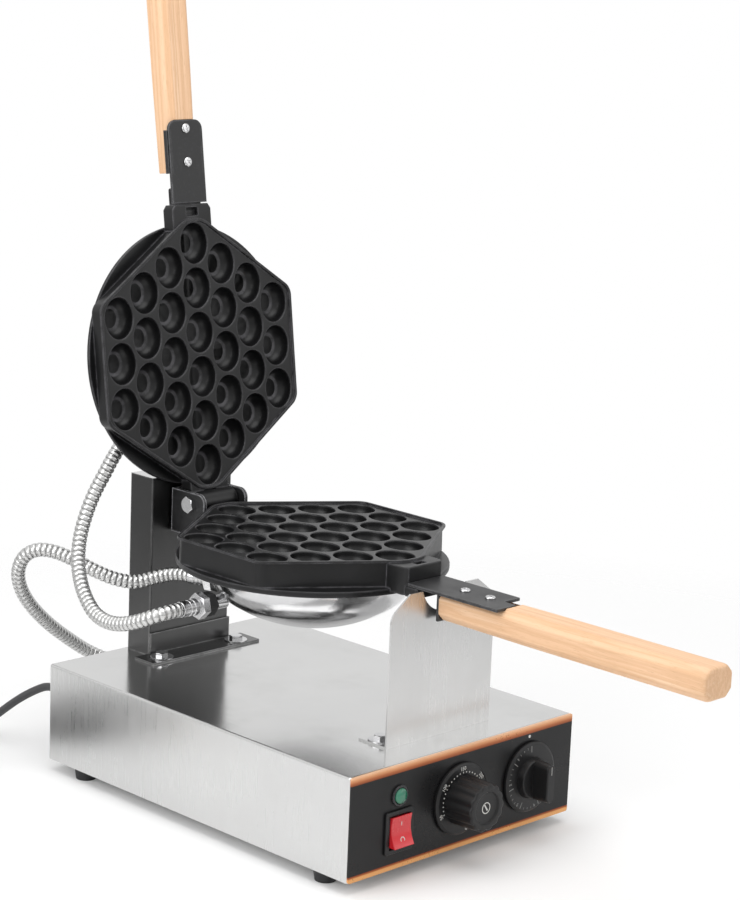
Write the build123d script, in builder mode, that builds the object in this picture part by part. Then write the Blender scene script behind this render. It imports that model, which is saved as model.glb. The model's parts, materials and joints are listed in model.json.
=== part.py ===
from build123d import *
import math
import os

# Rotating waffle maker: a sheet steel base, a rear column that carries a turning mould pair,
# a front rest, and a lid mould hinged to the lower one. Millimetres, +Z up, front faces -Y.

# Base box
BASE_W = 250.0
BASE_D = 362.0
BASE_H = 83.0
SHEET = 1.2
BASE_EDGE = 2.0
FOOT_H = 10.0
FOOT_R = 10.0
FOOT_TAPER = 9.0
FOOT_RECESS = 4.0
FOOT_RECESS_R = 5.5
FOOT_SCREW_HEAD_T = 2.2
FOOT_SCREW_PAST = 6.0
FOOT_X = 90.0
FOOT_X_SHIFT = -23.0
FOOT_Y = 145.0
FLOOR_GAP = 0.3
FLOOR_LIP = 14.0
VENT_L = 40.0
VENT_W = 4.0
VENT_PITCH = 12.0
VENT_COUNT = 8

BASE_Z = FOOT_H
TOP_Z = BASE_Z + BASE_H
FRONT = -BASE_D / 2
REAR = BASE_D / 2

# Control fascia
FASCIA_T = 1.5
FASCIA_WINDOW_W = 226.0
FASCIA_WINDOW_H = 62.0
PANEL_X = 73.5
DIAL_X = -6.5
LAMP_Z = BASE_Z + 58.5
SWITCH_Z = BASE_Z + 30.5
DIAL_Z = BASE_Z + 41.0
LAMP_BODY_R = 6.0
LAMP_RING_R = 8.5
LAMP_RING_T = 2.0
LAMP_RING_ROUND = 0.8
LAMP_NUT_T = 3.0
LAMP_LENS_R = 6.3
LENS_GAP = 0.1
LENS_DOME = 2.6
LENS_STRAIGHT = 1.2
LAMP_DEPTH = 16.0
SWITCH_W = 30.0
SWITCH_H = 34.0
SWITCH_RIM = 2.2
SWITCH_CORNER = 2.0
SWITCH_BEVEL = 0.9
SWITCH_BODY_FIT = 0.2
SWITCH_WELL = 12.0
SWITCH_BODY_W = 24.6
SWITCH_BODY_H = 30.0
SWITCH_BODY_DEPTH = 20.0
BUTTON_W = 21.0
BUTTON_H = 24.8
BUTTON_TILT = 8.0
BUTTON_GAP = 0.5
BUTTON_END_GAP = 1.15
BUTTON_HORN = 7.5
BUTTON_WAIST = 4.8
BUTTON_HEEL = 2.0
BUTTON_BACK = 5.0
BUTTON_DRAFT = 1.5
PIVOT_BACK = 1.0
PIVOT_PAST = 0.7
TAB_W = 6.3
TAB_T = 0.8
TAB_L = 8.0
TAB_PITCH = 9.0
PIN_R = 1.5
DIAL_R = 29.0
DIAL_T = 3.6
DIAL_GAP = 0.5
DIAL_SLOPE_IN = 2.16
DIAL_SLOPE_BACK = 1.26
THERMO_KNOB_R = 20.5
THERMO_KNOB_H = 26.0
THERMO_CAP_R = 12.7
THERMO_CAP_SINK = 1.5
KNOB_TAPER = 3.0
THERMO_FLUTES = 16
FLUTE_R = 2.6
FLUTE_OUT = 1.17
TIMER_HUB_R = 17.0
TIMER_HUB_H = 6.0
TIMER_HUB_TAPER = 8.0
TIMER_ROUND = 1.2
TIMER_BAR_W = 10.0
TIMER_BAR_L = 34.0
TIMER_BAR_H = 15.0
SHAFT_R = 3.0
SHAFT_FIT = 0.05
SHAFT_CLEAR = 1.5
SHAFT_FLAT = 1.0
SHAFT_IN_KNOB = 14.0
SHAFT_BEHIND = 8.0
SHAFT_ROUND_L = 4.0
THERMO_BODY_R = 18.0
THERMO_BODY_L = 24.0
THERMO_PLATE_W = 41.4
THERMO_PLATE_T = 1.5
THERMO_TAB_X = 8.0
CAPILLARY_R = 2.0
CAPILLARY_DOWN = 9.0
TIMER_BODY_SIDE = 44.0
TIMER_BODY_L = 32.0
TIMER_BODY_CORNER = 4.0
TIMER_TAB_X = 19.0
TIMER_TAB_Z = 12.0
TIMER_BELL_R = 17.0
TIMER_BELL_H = 12.0
TIMER_BELL_TAPER = 8.0
TIMER_BELL_ROUND = 5.0
TERMINAL_AT = (-60.0, 90.0)
TERMINAL_W = 46.0
TERMINAL_D = 24.0
TERMINAL_H = 12.0
TERMINAL_RIDGE_D = 10.0
TERMINAL_RIDGE_H = 6.0
TERMINAL_PITCH = 14.0
TERMINAL_ROWS = 17.0
TERMINAL_HOLE_R = 2.6
TERMINAL_HOLE = 5.0

# Screw heads: their side taper and the cross slot as shares of the head's radius
PAN_TAPER = 12.0
CROSS_L = 1.1
CROSS_W = 0.24

# Rear column and the turning axis
COLUMN_W = 89.0
COLUMN_FRONT = 148.0
COLUMN_D = 28.0
COLUMN_TOP = BASE_Z + 238.0
COLUMN_SHEET = 1.5
ANGLE_W = 120.0
ANGLE_FRONT = 123.5
ANGLE_T = 2.0
ANGLE_UP = 18.0
COLUMN_BOLT_X = 42.0
COLUMN_BOLT_Y = 134.0
BOLT_R = 3.0
BOLT_FIT = 0.2
BOLT_HEAD = 10.0
BOLT_HEAD_T = 4.5
BOLT_PAST = 12.0
BASE_NUT_T = 5.0
TURN_Z = BASE_Z + 210.0
TURN_SHAFT_R = 8.0
TURN_FIT = 0.05
BUSH_WALL = 3.0
BUSH_FLANGE_R = 16.0
BUSH_FLANGE_T = 1.7
BUSH_L = 14.0
RUN_GAP = 0.3
TURN_WASHER_R = 14.0
TURN_WASHER_T = 2.0
TURN_NUT = 24.0
TURN_NUT_T = 7.5

# Hinge between the two moulds
HINGE_Y = 122.0
HINGE_Z = BASE_Z + 218.0
HINGE_PIN_R = 4.0
HINGE_FIT = 0.06
HINGE_REACH = 124.0
HINGE_LUG_R = 9.5
HINGE_HEX = 12.8
HINGE_HEAD_T = 5.0
HINGE_NUT_T = 6.0
HINGE_PAST = 2.0
LEAN = 7.92
CHEEK_IN = 21.5
CHEEK_T = 3.0
CHEEK_FRONT = 105.0
CHEEK_POCKET = 0.5
CHEEK_GAP = 0.5
BRACKET_T = 3.0
BRACKET_LOW = BASE_Z + 190.5
BRACKET_HIGH = BASE_Z + 228.0
BRACKET_ROUND = 8.0

# Waffle moulds
FACE_Z = BASE_Z + 216.0
LID_SETBACK = 2.0
HEX_HALF_W = 105.5
HEX_APEX = 120.6
HEX_SLOPE = 0.68
HEX_FLAT = 114.0
HEX_CORNER_R = 12.0
RIM_W = 2.5
RIM_H = 1.8
CELL_X = 28.47
CELL_V = 37.3
CELL_SEMI_X = 14.45
CELL_SEMI_V = 17.0
CELL_DEPTH = 13.5
CELL_MID = 0.55
CELL_MID_SHARE = 0.86
CELL_FLOOR_SHARE = 0.5
COLUMN_COUNTS = (3, 4, 5, 6, 5, 4, 3)
NECK_HALF = 21.0
NECK_END = 126.0
NECK_IN = 8.0
LOWER_DISC_R = 111.5
LOWER_DISC_T = 5.0
LOWER_WALL = 20.0
LOWER_RECESS_R = 78.0
LOWER_RECESS = 7.0
LOWER_NECK_END = 138.0
LOWER_NECK_T = 22.5
UPPER_DISC_R = 109.5
UPPER_DISC_T = 3.4
UPPER_WALL = 12.6
TONGUE_HALF = 14.0
TONGUE_L = 16.0
TONGUE_IN = 2.0

# Heater bowls and elements
BOWL_T = 1.0
BOWL_SIDE_R = 36.0
LOWER_BOWL_R = 86.0
LOWER_BOWL_DEPTH = 51.0
LOWER_FLANGE_R = 95.0
LOWER_SCREW_CIRCLE = 90.5
UPPER_BOWL_R = 66.5
UPPER_BOWL_DEPTH = 48.0
UPPER_FLANGE_R = 75.0
UPPER_SCREW_CIRCLE = 70.8
BOWL_SCREW_R = 2.0
BOWL_SCREW_HEAD_R = 3.6
BOWL_SCREW_HEAD_T = 2.2
BOWL_SCREW_TURNS = (30, 120, 210, 300)
ELEMENT_R = 55.0
ELEMENT_TUBE_R = 3.25
ELEMENT_GAP = 30.0
ELEMENT_PIN = 14.0
ELEMENT_PIN_R = 2.275

# Handles
STRIP_T = 2.5
STRIP_HALF = 20.0
STRIP_TOP = BASE_Z + 204.0
STRIP_START = -128.3
STRIP_END = -222.0
STRIP_NOTCH_END = -210.0
STRIP_NOTCH_X = 2.0
STRIP_TAB_IN = 2.0
STRIP_TAB_Y = -154.5
STRIP_TAB_DROP = 23.0
WOOD_HALF = 16.0
WOOD_H = 25.0
WOOD_START = -157.2
WOOD_END = -415.0
WOOD_CHAMFER = 6.0
WOOD_SLIM = 1.5
WOOD_END_ROUND = 3.0
LOWER_SCREWS_Y = (-171.0, -197.0)
HANDLE_SCREW_R = 2.0
HANDLE_SCREW_HEAD_R = 4.2
HANDLE_SCREW_HEAD_T = 1.8
HANDLE_SCREW_L = 18.0
UPPER_STRIP_HALF = 18.5
UPPER_STRIP_BACK = 1.5
UPPER_STRIP_START = 251.0
UPPER_STRIP_END = 320.0
UPPER_STRIP_CORNER = 8.0
UPPER_LIP_T = 2.0
UPPER_LIP_START = 276.0
UPPER_LIP_DEPTH = 7.0
UPPER_WOOD_START = 276.5
UPPER_WOOD_H = 26.0
UPPER_SCREWS_V = (285.0, 312.8)
WOOD_GAP = 0.3
WOOD_PROUD = 0.5

# Front rest for the handles
REST_Y = -150.0
REST_T = 1.5
REST_HALF = 58.0
REST_TOP = BASE_Z + 202.8
REST_SHOULDER_X = 38.0
REST_SHOULDER_Z = BASE_Z + 188.0
REST_NOTCH_R = 25.5
REST_FOOT = 30.0
REST_CORNER = 12.0
REST_BOLT_X = 48.0
REST_BOLT_Y = -134.0

# Heater conduits, their fittings, and the mains lead
HOSE_R = 6.0
HOSE_ROOT = 5.3
HOSE_BORE_R = 4.3
HOSE_LEAD = 12.0
HOSE_RIBS = 60
CREST_START = 0.25
CREST_END = 0.65
FERRULE_R = 6.8
FERRULE_L = 17.3
FIT_NUT_R = 10.5
FIT_NUT_L = 9.0
FIT_NUT_BEVEL = 0.8
FIT_HEX = 19.0
FIT_HEX_L = 7.0
LOWER_FIT_Y = 31.0
LOWER_FIT_Z = BASE_Z + 162.0
LOWER_FIT_START = 67.0
REAR_FIT_ANGLE = 109.0
REAR_FIT_START = 73.5
UPPER_FIT_ANGLE = 225.0
UPPER_FIT_START = 62.0
UPPER_FIT_BACK = 29.0
LOWER_SEAT = 12.6
REAR_SEAT = 7.4
UPPER_SEAT = 5.2
STUB = 14.0
BASE_STUB = 7.2
BASE_FIT_X = -14.0
BASE_FIT_Z = BASE_Z + 52.0
CORD_D = 7.0
CORD_X = -95.0
CORD_Z = BASE_Z + 48.0
GLAND_R = 9.0
GLAND_NUT_T = 5.0
SLEEVE_L = 26.0
SLEEVE_TIP_R = 4.6
SLEEVE_R = 7.5
GROOVES = 4
GROOVE_START = 5.0
GROOVE_PITCH = 5.0
GROOVE_W = 1.8
GROOVE_DEPTH = 1.0
GLAND_NECK_R = 6.7
GLAND_NECK_L = 8.0
GLAND_BACK_T = 4.0
GLAND_HOLE_R = 7.0
COIL_X = -222.0
COIL_Y = 252.0
COIL_R = 47.0
COIL_LIFT = 1.0
COIL_GAP = 0.5
COIL_IN = 2.25
COIL_CLIMB = 0.5
COIL_OUT = 2.5
COIL_START = 90.0
COIL_END_RUN = 18.0
COIL_SAMPLES = 600
TIE_W = 8.0
TIE_T = 0.7
TIE_GAP = 0.2
TIE_IN_GAP = 0.8
TIE_ROUND = 1.5
PLUG_W = 21.0
PLUG_T = 19.0
PLUG_L = 34.0
PLUG_NECK = 14.0
PLUG_CORNER = 4.0
PLUG_WAIST = 0.7
PLUG_NECK_FLARE = 2.0
BLADE_X = 6.35
BLADE_UP = 3.0
BLADE_W = 1.5
BLADE_H = 6.4
BLADE_L = 17.0
EARTH_DOWN = 5.0
EARTH_R = 2.4
EARTH_L = 20.0

mould_y = HINGE_Y - HINGE_REACH
lean = math.radians(LEAN)
lid_normal = Vector(0, -math.cos(lean), math.sin(lean))
lid_up = Vector(0, math.sin(lean), math.cos(lean))
hinge_point = Vector(0, HINGE_Y, HINGE_Z)

lower_face = Plane(origin=(0, mould_y, FACE_Z), x_dir=(-1, 0, 0), z_dir=(0, 0, 1))
lid_face = Plane(
    origin=hinge_point + lid_up * HINGE_REACH - lid_normal * LID_SETBACK,
    x_dir=(1, 0, 0),
    z_dir=lid_normal,
)
fascia_face = Plane(origin=(0, FRONT, 0), x_dir=(1, 0, 0), z_dir=(0, -1, 0))
rear_face = Plane(origin=(0, REAR, 0), x_dir=(-1, 0, 0), z_dir=(0, 1, 0))
hinge_axis_plane = Plane(origin=hinge_point, x_dir=(0, 1, 0), z_dir=(1, 0, 0))
turn_axis_plane = Plane(origin=(0, 0, TURN_Z), x_dir=(1, 0, 0), z_dir=(0, -1, 0))

sub_parts = {}
cord_parts = {}


def shifted(plane, x=0.0, y=0.0, z=0.0):
    """The same plane with its origin moved along its own axes."""
    return Plane(plane.location * Pos(x, y, z))


def rod(plane, radius, length):
    """A round bar that starts on the plane and runs along its normal."""
    with BuildPart() as bar:
        with BuildSketch(plane):
            Circle(radius)
        extrude(amount=length)
    return bar.part


def hex_bolt(seat, head, head_t, shank_r, shank_l):
    """A hexagon bolt whose head stands on the seat plane, with the shank behind it."""
    with BuildPart() as bolt:
        with BuildSketch(seat):
            RegularPolygon(head / 2, 6, major_radius=False)
        extrude(amount=head_t)
        chamfer(bolt.faces().sort_by(Axis(seat.origin, seat.z_dir))[-1].edges(), head_t / 6)
        with BuildSketch(seat):
            Circle(shank_r)
        extrude(amount=-shank_l)
    return bolt.part


def pan_screw(seat, head_r, head_t, shank_r, shank_l):
    """A round headed screw seated on the plane, with a cross slot in its head."""
    with BuildPart() as screw:
        with BuildSketch(seat):
            Circle(head_r)
        extrude(amount=head_t, taper=PAN_TAPER)
        with BuildSketch(shifted(seat, z=head_t)):
            Rectangle(head_r * CROSS_L, head_r * CROSS_W)
            Rectangle(head_r * CROSS_W, head_r * CROSS_L)
        extrude(amount=-head_t / 2, mode=Mode.SUBTRACT)
        with BuildSketch(seat):
            Circle(shank_r)
        extrude(amount=-shank_l)
    return screw.part


# Base: cover, floor plate, feet
foot_places = [
    (FOOT_X_SHIFT + side * FOOT_X, end * FOOT_Y) for side in (-1, 1) for end in (-1, 1)
]
column_bolt_places = [(side * COLUMN_BOLT_X, COLUMN_BOLT_Y) for side in (-1, 1)]
rest_bolt_places = [(side * REST_BOLT_X, REST_BOLT_Y) for side in (-1, 1)]

with BuildPart() as base_cover:
    with BuildSketch(Plane.XY.offset(BASE_Z)):
        with Locations((0, FASCIA_T / 2)):
            Rectangle(BASE_W, BASE_D - FASCIA_T)
    extrude(amount=BASE_H)
    fillet(base_cover.edges().filter_by(Axis.Z), BASE_EDGE)
    fillet(base_cover.faces().sort_by(Axis.Z)[-1].edges(), BASE_EDGE)
    offset(amount=-SHEET, openings=base_cover.faces().sort_by(Axis.Z)[0])
    with BuildSketch(fascia_face):
        with Locations((0, BASE_Z + BASE_H / 2)):
            Rectangle(FASCIA_WINDOW_W, FASCIA_WINDOW_H)
    extrude(amount=-(FASCIA_T + SHEET + 1), mode=Mode.SUBTRACT)
    with BuildSketch(Plane.XY.offset(TOP_Z)):
        with Locations(*column_bolt_places, *rest_bolt_places):
            Circle(BOLT_R + BOLT_FIT)
    extrude(amount=-2 * SHEET, mode=Mode.SUBTRACT)
    with BuildSketch(rear_face):
        with Locations((-BASE_FIT_X, BASE_FIT_Z)):
            Circle(HOSE_R + BOLT_FIT)
        with Locations((-CORD_X, CORD_Z)):
            Circle(GLAND_HOLE_R)
    extrude(amount=-2 * SHEET, mode=Mode.SUBTRACT)
sub_parts["base_cover"] = base_cover

floor_w = BASE_W - 2 * (SHEET + FLOOR_GAP)
floor_front = FRONT + FASCIA_T + SHEET + FLOOR_GAP
floor_d = BASE_D - FASCIA_T - 2 * (SHEET + FLOOR_GAP)
floor_y = floor_front + floor_d / 2

with BuildPart() as floor_plate:
    with BuildSketch(Plane.XY.offset(BASE_Z)):
        with Locations((0, floor_y)):
            RectangleRounded(floor_w, floor_d, BASE_EDGE)
    extrude(amount=FLOOR_LIP)
    offset(amount=-SHEET, openings=floor_plate.faces().sort_by(Axis.Z)[-1])
    with BuildSketch(Plane.XY.offset(BASE_Z)):
        with Locations((-BASE_W / 4, 0), (BASE_W / 4, 0)):
            with GridLocations(0, VENT_PITCH, 1, VENT_COUNT):
                SlotOverall(VENT_L, VENT_W)
        with Locations(*foot_places):
            Circle(BOLT_R)
    extrude(amount=SHEET, mode=Mode.SUBTRACT)
sub_parts["floor_plate"] = floor_plate

with BuildPart() as rubber_feet:
    with BuildSketch(Plane.XY.offset(BASE_Z)):
        with Locations(*foot_places):
            Circle(FOOT_R)
    extrude(amount=-FOOT_H, taper=FOOT_TAPER)
    with BuildSketch(Plane.XY):
        with Locations(*foot_places):
            Circle(FOOT_RECESS_R)
    extrude(amount=FOOT_RECESS, mode=Mode.SUBTRACT)
    with BuildSketch(Plane.XY):
        with Locations(*foot_places):
            Circle(BOLT_R)
    extrude(amount=FOOT_H, mode=Mode.SUBTRACT)
sub_parts["rubber_feet"] = rubber_feet

with BuildPart() as feet_screws:
    for place in foot_places:
        seat = Plane(origin=(*place, FOOT_RECESS), x_dir=(1, 0, 0), z_dir=(0, 0, -1))
        shank_l = FOOT_H - FOOT_RECESS + FOOT_SCREW_PAST
        add(pan_screw(seat, FOOT_RECESS_R - 1, FOOT_SCREW_HEAD_T, BOLT_R - BOLT_FIT, shank_l))
sub_parts["feet_screws"] = feet_screws

# Control fascia and what is mounted on it
button_open_w = BUTTON_W + 2 * BUTTON_GAP
button_open_h = BUTTON_H + 2 * BUTTON_END_GAP
with BuildPart() as control_fascia:
    with BuildSketch(fascia_face):
        with Locations((0, BASE_Z + BASE_H / 2)):
            RectangleRounded(BASE_W, BASE_H, BASE_EDGE)
        with Locations((-PANEL_X, LAMP_Z)):
            Circle(LAMP_BODY_R + BOLT_FIT, mode=Mode.SUBTRACT)
        with Locations((-PANEL_X, SWITCH_Z)):
            Rectangle(
                SWITCH_BODY_W + 2 * SWITCH_BODY_FIT,
                SWITCH_BODY_H + 2 * SWITCH_BODY_FIT,
                mode=Mode.SUBTRACT,
            )
        with Locations((DIAL_X, DIAL_Z), (PANEL_X, DIAL_Z)):
            Circle(SHAFT_R + SHAFT_CLEAR, mode=Mode.SUBTRACT)
    extrude(amount=-FASCIA_T)
sub_parts["control_fascia"] = control_fascia

lamp_face = shifted(fascia_face, -PANEL_X, LAMP_Z)
with BuildPart() as indicator_bezel:
    with BuildSketch(lamp_face):
        Circle(LAMP_RING_R)
    extrude(amount=LAMP_RING_T)
    fillet(indicator_bezel.faces().sort_by(Axis.Y)[0].edges(), LAMP_RING_ROUND)
    with BuildSketch(lamp_face):
        Circle(LAMP_BODY_R)
    extrude(amount=-LAMP_DEPTH)
    with BuildSketch(shifted(lamp_face, z=LAMP_RING_T)):
        Circle(LAMP_LENS_R)
    extrude(amount=-LAMP_RING_T / 2, mode=Mode.SUBTRACT)
    with BuildSketch(shifted(lamp_face, z=-FASCIA_T)):
        RegularPolygon(LAMP_RING_R, 6)
        Circle(LAMP_BODY_R, mode=Mode.SUBTRACT)
    extrude(amount=-LAMP_NUT_T)
sub_parts["indicator_bezel"] = indicator_bezel

with BuildPart() as indicator_lens:
    with BuildSketch(shifted(lamp_face, z=LAMP_RING_T / 2)):
        Circle(LAMP_LENS_R - LENS_GAP)
    extrude(amount=LENS_STRAIGHT + LENS_DOME)
    fillet(indicator_lens.faces().sort_by(Axis.Y)[0].edges(), LENS_DOME * 0.9)
sub_parts["indicator_lens"] = indicator_lens

switch_face = shifted(fascia_face, -PANEL_X, SWITCH_Z)
rocker_pivot = switch_face.origin + Vector(0, PIVOT_BACK, 0)
with BuildPart() as rocker_housing:
    with BuildSketch(switch_face):
        RectangleRounded(SWITCH_W, SWITCH_H, SWITCH_CORNER)
    extrude(amount=SWITCH_RIM)
    chamfer(rocker_housing.faces().sort_by(Axis.Y)[0].edges(), SWITCH_BEVEL)
    with BuildSketch(switch_face):
        Rectangle(SWITCH_BODY_W, SWITCH_BODY_H)
    extrude(amount=-SWITCH_BODY_DEPTH)
    with BuildSketch(shifted(switch_face, z=SWITCH_RIM)):
        Rectangle(button_open_w, button_open_h)
    extrude(amount=-(SWITCH_RIM + SWITCH_WELL), mode=Mode.SUBTRACT)
    with BuildSketch(Plane(origin=rocker_pivot, x_dir=(0, 1, 0), z_dir=(1, 0, 0))):
        Circle(PIN_R + SHAFT_FIT)
    extrude(amount=button_open_w / 2 + PIVOT_PAST + RUN_GAP, both=True, mode=Mode.SUBTRACT)
    with BuildSketch(shifted(switch_face, z=-SWITCH_BODY_DEPTH)):
        with Locations((0, -TAB_PITCH), (0, 0), (0, TAB_PITCH)):
            Rectangle(TAB_W, TAB_T)
    extrude(amount=-TAB_L)
sub_parts["rocker_housing"] = rocker_housing

button_tilt = math.radians(BUTTON_TILT)
rocker_plane = Plane(
    origin=rocker_pivot, x_dir=(0, math.sin(button_tilt), math.cos(button_tilt)), z_dir=(1, 0, 0)
)
button_half = BUTTON_H / 2
with BuildPart() as rocker_button:
    with BuildSketch(rocker_plane):
        with BuildLine():
            Polyline(
                (button_half, BUTTON_HORN),
                (0, BUTTON_WAIST),
                (-button_half, BUTTON_HORN),
                (-button_half + BUTTON_DRAFT, -BUTTON_HEEL),
                (0, -BUTTON_BACK),
                (button_half - BUTTON_DRAFT, -BUTTON_HEEL),
                close=True,
            )
        make_face()
    extrude(amount=BUTTON_W / 2, both=True)
    with BuildSketch(rocker_plane):
        Circle(PIN_R)
    extrude(amount=button_open_w / 2 + PIVOT_PAST, both=True)
sub_parts["rocker_button"] = rocker_button


def dial_skirt(centre):
    """The flat numbered skirt under a knob, with a sloped outer edge."""
    with BuildPart() as skirt:
        with BuildSketch(shifted(centre, z=DIAL_GAP)):
            Circle(DIAL_R)
        extrude(amount=DIAL_T)
        chamfer(skirt.faces().sort_by(Axis.Y)[0].edges(), DIAL_SLOPE_IN, DIAL_SLOPE_BACK)
    return skirt.part


def shaft_hole(centre):
    """The blind hole that takes the control's shaft."""
    return rod(shifted(centre, z=DIAL_GAP), SHAFT_R + SHAFT_FIT, SHAFT_IN_KNOB + SHAFT_FIT)


thermo_face = shifted(fascia_face, DIAL_X, DIAL_Z)
knob_base = DIAL_GAP + DIAL_T
with BuildPart() as thermostat_knob:
    add(dial_skirt(thermo_face))
    with BuildSketch(shifted(thermo_face, z=knob_base)):
        Circle(THERMO_KNOB_R)
        with PolarLocations(THERMO_KNOB_R + FLUTE_OUT, THERMO_FLUTES):
            Circle(FLUTE_R, mode=Mode.SUBTRACT)
    extrude(amount=THERMO_KNOB_H, taper=KNOB_TAPER)
    with BuildSketch(shifted(thermo_face, z=knob_base + THERMO_KNOB_H)):
        Circle(THERMO_CAP_R)
    extrude(amount=-THERMO_CAP_SINK, mode=Mode.SUBTRACT)
    add(shaft_hole(thermo_face), mode=Mode.SUBTRACT)
sub_parts["thermostat_knob"] = thermostat_knob

timer_face = shifted(fascia_face, PANEL_X, DIAL_Z)
with BuildPart() as timer_knob:
    add(dial_skirt(timer_face))
    with BuildSketch(shifted(timer_face, z=knob_base)):
        Circle(TIMER_HUB_R)
    extrude(amount=TIMER_HUB_H, taper=TIMER_HUB_TAPER)
    with BuildSketch(shifted(timer_face, z=knob_base)):
        SlotOverall(TIMER_BAR_L, TIMER_BAR_W, rotation=90)
    extrude(amount=TIMER_HUB_H + TIMER_BAR_H, taper=KNOB_TAPER)
    fillet(timer_knob.faces().sort_by(Axis.Y)[0].edges(), TIMER_ROUND)
    add(shaft_hole(timer_face), mode=Mode.SUBTRACT)
sub_parts["timer_knob"] = timer_knob


def control_shaft(centre):
    """A control's round shaft with a flat along the stretch inside the knob."""
    start = -FASCIA_T - SHAFT_BEHIND
    with BuildPart() as shaft:
        add(rod(shifted(centre, z=start), SHAFT_R, SHAFT_IN_KNOB + DIAL_GAP - start))
        with BuildSketch(shifted(centre, z=DIAL_GAP + SHAFT_ROUND_L)):
            with Locations((0, SHAFT_R)):
                Rectangle(2 * SHAFT_R, 2 * SHAFT_FLAT)
        extrude(amount=SHAFT_IN_KNOB, mode=Mode.SUBTRACT)
    return shaft


def shaft_socket(centre):
    """The running bore for the shaft in a control's body behind the fascia."""
    depth = SHAFT_BEHIND + SHAFT_FIT
    return rod(shifted(centre, z=-FASCIA_T - depth), SHAFT_R + SHAFT_FIT, depth)


sub_parts["thermostat_shaft"] = control_shaft(thermo_face)
sub_parts["timer_shaft"] = control_shaft(timer_face)

with BuildPart() as thermostat_body:
    with BuildSketch(shifted(thermo_face, z=-FASCIA_T)):
        Rectangle(THERMO_PLATE_W, THERMO_BODY_R)
    extrude(amount=-THERMO_PLATE_T)
    with BuildSketch(shifted(thermo_face, z=-FASCIA_T)):
        Circle(THERMO_BODY_R)
    extrude(amount=-THERMO_BODY_L)
    with BuildSketch(shifted(thermo_face, z=-FASCIA_T - THERMO_BODY_L)):
        with Locations((-THERMO_TAB_X, 0), (THERMO_TAB_X, 0)):
            Rectangle(TAB_T, TAB_W)
        with Locations((0, -CAPILLARY_DOWN)):
            Circle(CAPILLARY_R)
    extrude(amount=-TAB_L)
    add(shaft_socket(thermo_face), mode=Mode.SUBTRACT)
sub_parts["thermostat_body"] = thermostat_body

with BuildPart() as timer_body:
    with BuildSketch(shifted(timer_face, z=-FASCIA_T)):
        RectangleRounded(TIMER_BODY_SIDE, TIMER_BODY_SIDE, TIMER_BODY_CORNER)
    extrude(amount=-TIMER_BODY_L)
    with BuildSketch(shifted(timer_face, z=-FASCIA_T - TIMER_BODY_L)):
        with Locations((-TIMER_TAB_X, TIMER_TAB_Z), (-TIMER_TAB_X, -TIMER_TAB_Z)):
            Rectangle(TAB_T, TAB_W)
    extrude(amount=-TAB_L)
    add(shaft_socket(timer_face), mode=Mode.SUBTRACT)
sub_parts["timer_body"] = timer_body

bell_face = shifted(timer_face, z=-FASCIA_T - TIMER_BODY_L)
with BuildPart() as timer_bell:
    with BuildSketch(bell_face):
        Circle(TIMER_BELL_R)
    extrude(amount=-TIMER_BELL_H, taper=TIMER_BELL_TAPER)
    fillet(timer_bell.faces().sort_by(Axis.Y)[-1].edges(), TIMER_BELL_ROUND)
sub_parts["timer_bell"] = timer_bell

terminal_top = Plane.XY.offset(BASE_Z + SHEET + TERMINAL_H)
with BuildPart() as terminal_block:
    with BuildSketch(Plane.XY.offset(BASE_Z + SHEET)):
        with Locations(TERMINAL_AT):
            Rectangle(TERMINAL_W, TERMINAL_D)
    extrude(amount=TERMINAL_H)
    with BuildSketch(terminal_top):
        with Locations(TERMINAL_AT):
            Rectangle(TERMINAL_W, TERMINAL_RIDGE_D)
    extrude(amount=TERMINAL_RIDGE_H)
    with BuildSketch(terminal_top):
        with Locations(TERMINAL_AT):
            with GridLocations(TERMINAL_PITCH, TERMINAL_ROWS, 3, 2):
                Circle(TERMINAL_HOLE_R)
    extrude(amount=-TERMINAL_HOLE, mode=Mode.SUBTRACT)
sub_parts["terminal_block"] = terminal_block

# Rear column with its foot angle, bolts, bush and rear plate
column_rear = COLUMN_FRONT + COLUMN_D
with BuildPart() as rear_column:
    with BuildSketch(Plane.XY.offset(TOP_Z)):
        with Locations((0, COLUMN_FRONT + COLUMN_D / 2)):
            Rectangle(COLUMN_W, COLUMN_D)
    extrude(amount=COLUMN_TOP - TOP_Z)
    fillet(rear_column.edges().filter_by(Axis.Z).group_by(Axis.Y)[0], BASE_EDGE)
    with BuildSketch(Plane.XY.offset(TOP_Z)):
        with Locations((0, COLUMN_FRONT + COLUMN_SHEET + COLUMN_D / 2)):
            Rectangle(COLUMN_W - 2 * COLUMN_SHEET, COLUMN_D)
    extrude(amount=COLUMN_TOP - TOP_Z - COLUMN_SHEET, mode=Mode.SUBTRACT)
    with BuildSketch(shifted(turn_axis_plane, z=-COLUMN_FRONT)):
        Circle(TURN_SHAFT_R + TURN_FIT + BUSH_WALL)
    extrude(amount=-COLUMN_SHEET, mode=Mode.SUBTRACT)
sub_parts["rear_column"] = rear_column

with BuildPart() as column_back:
    with BuildSketch(Plane.XY.offset(TOP_Z)):
        with Locations((0, column_rear - COLUMN_SHEET / 2)):
            Rectangle(COLUMN_W - 2 * COLUMN_SHEET, COLUMN_SHEET)
    extrude(amount=COLUMN_TOP - TOP_Z - COLUMN_SHEET)
sub_parts["column_back"] = column_back

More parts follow.
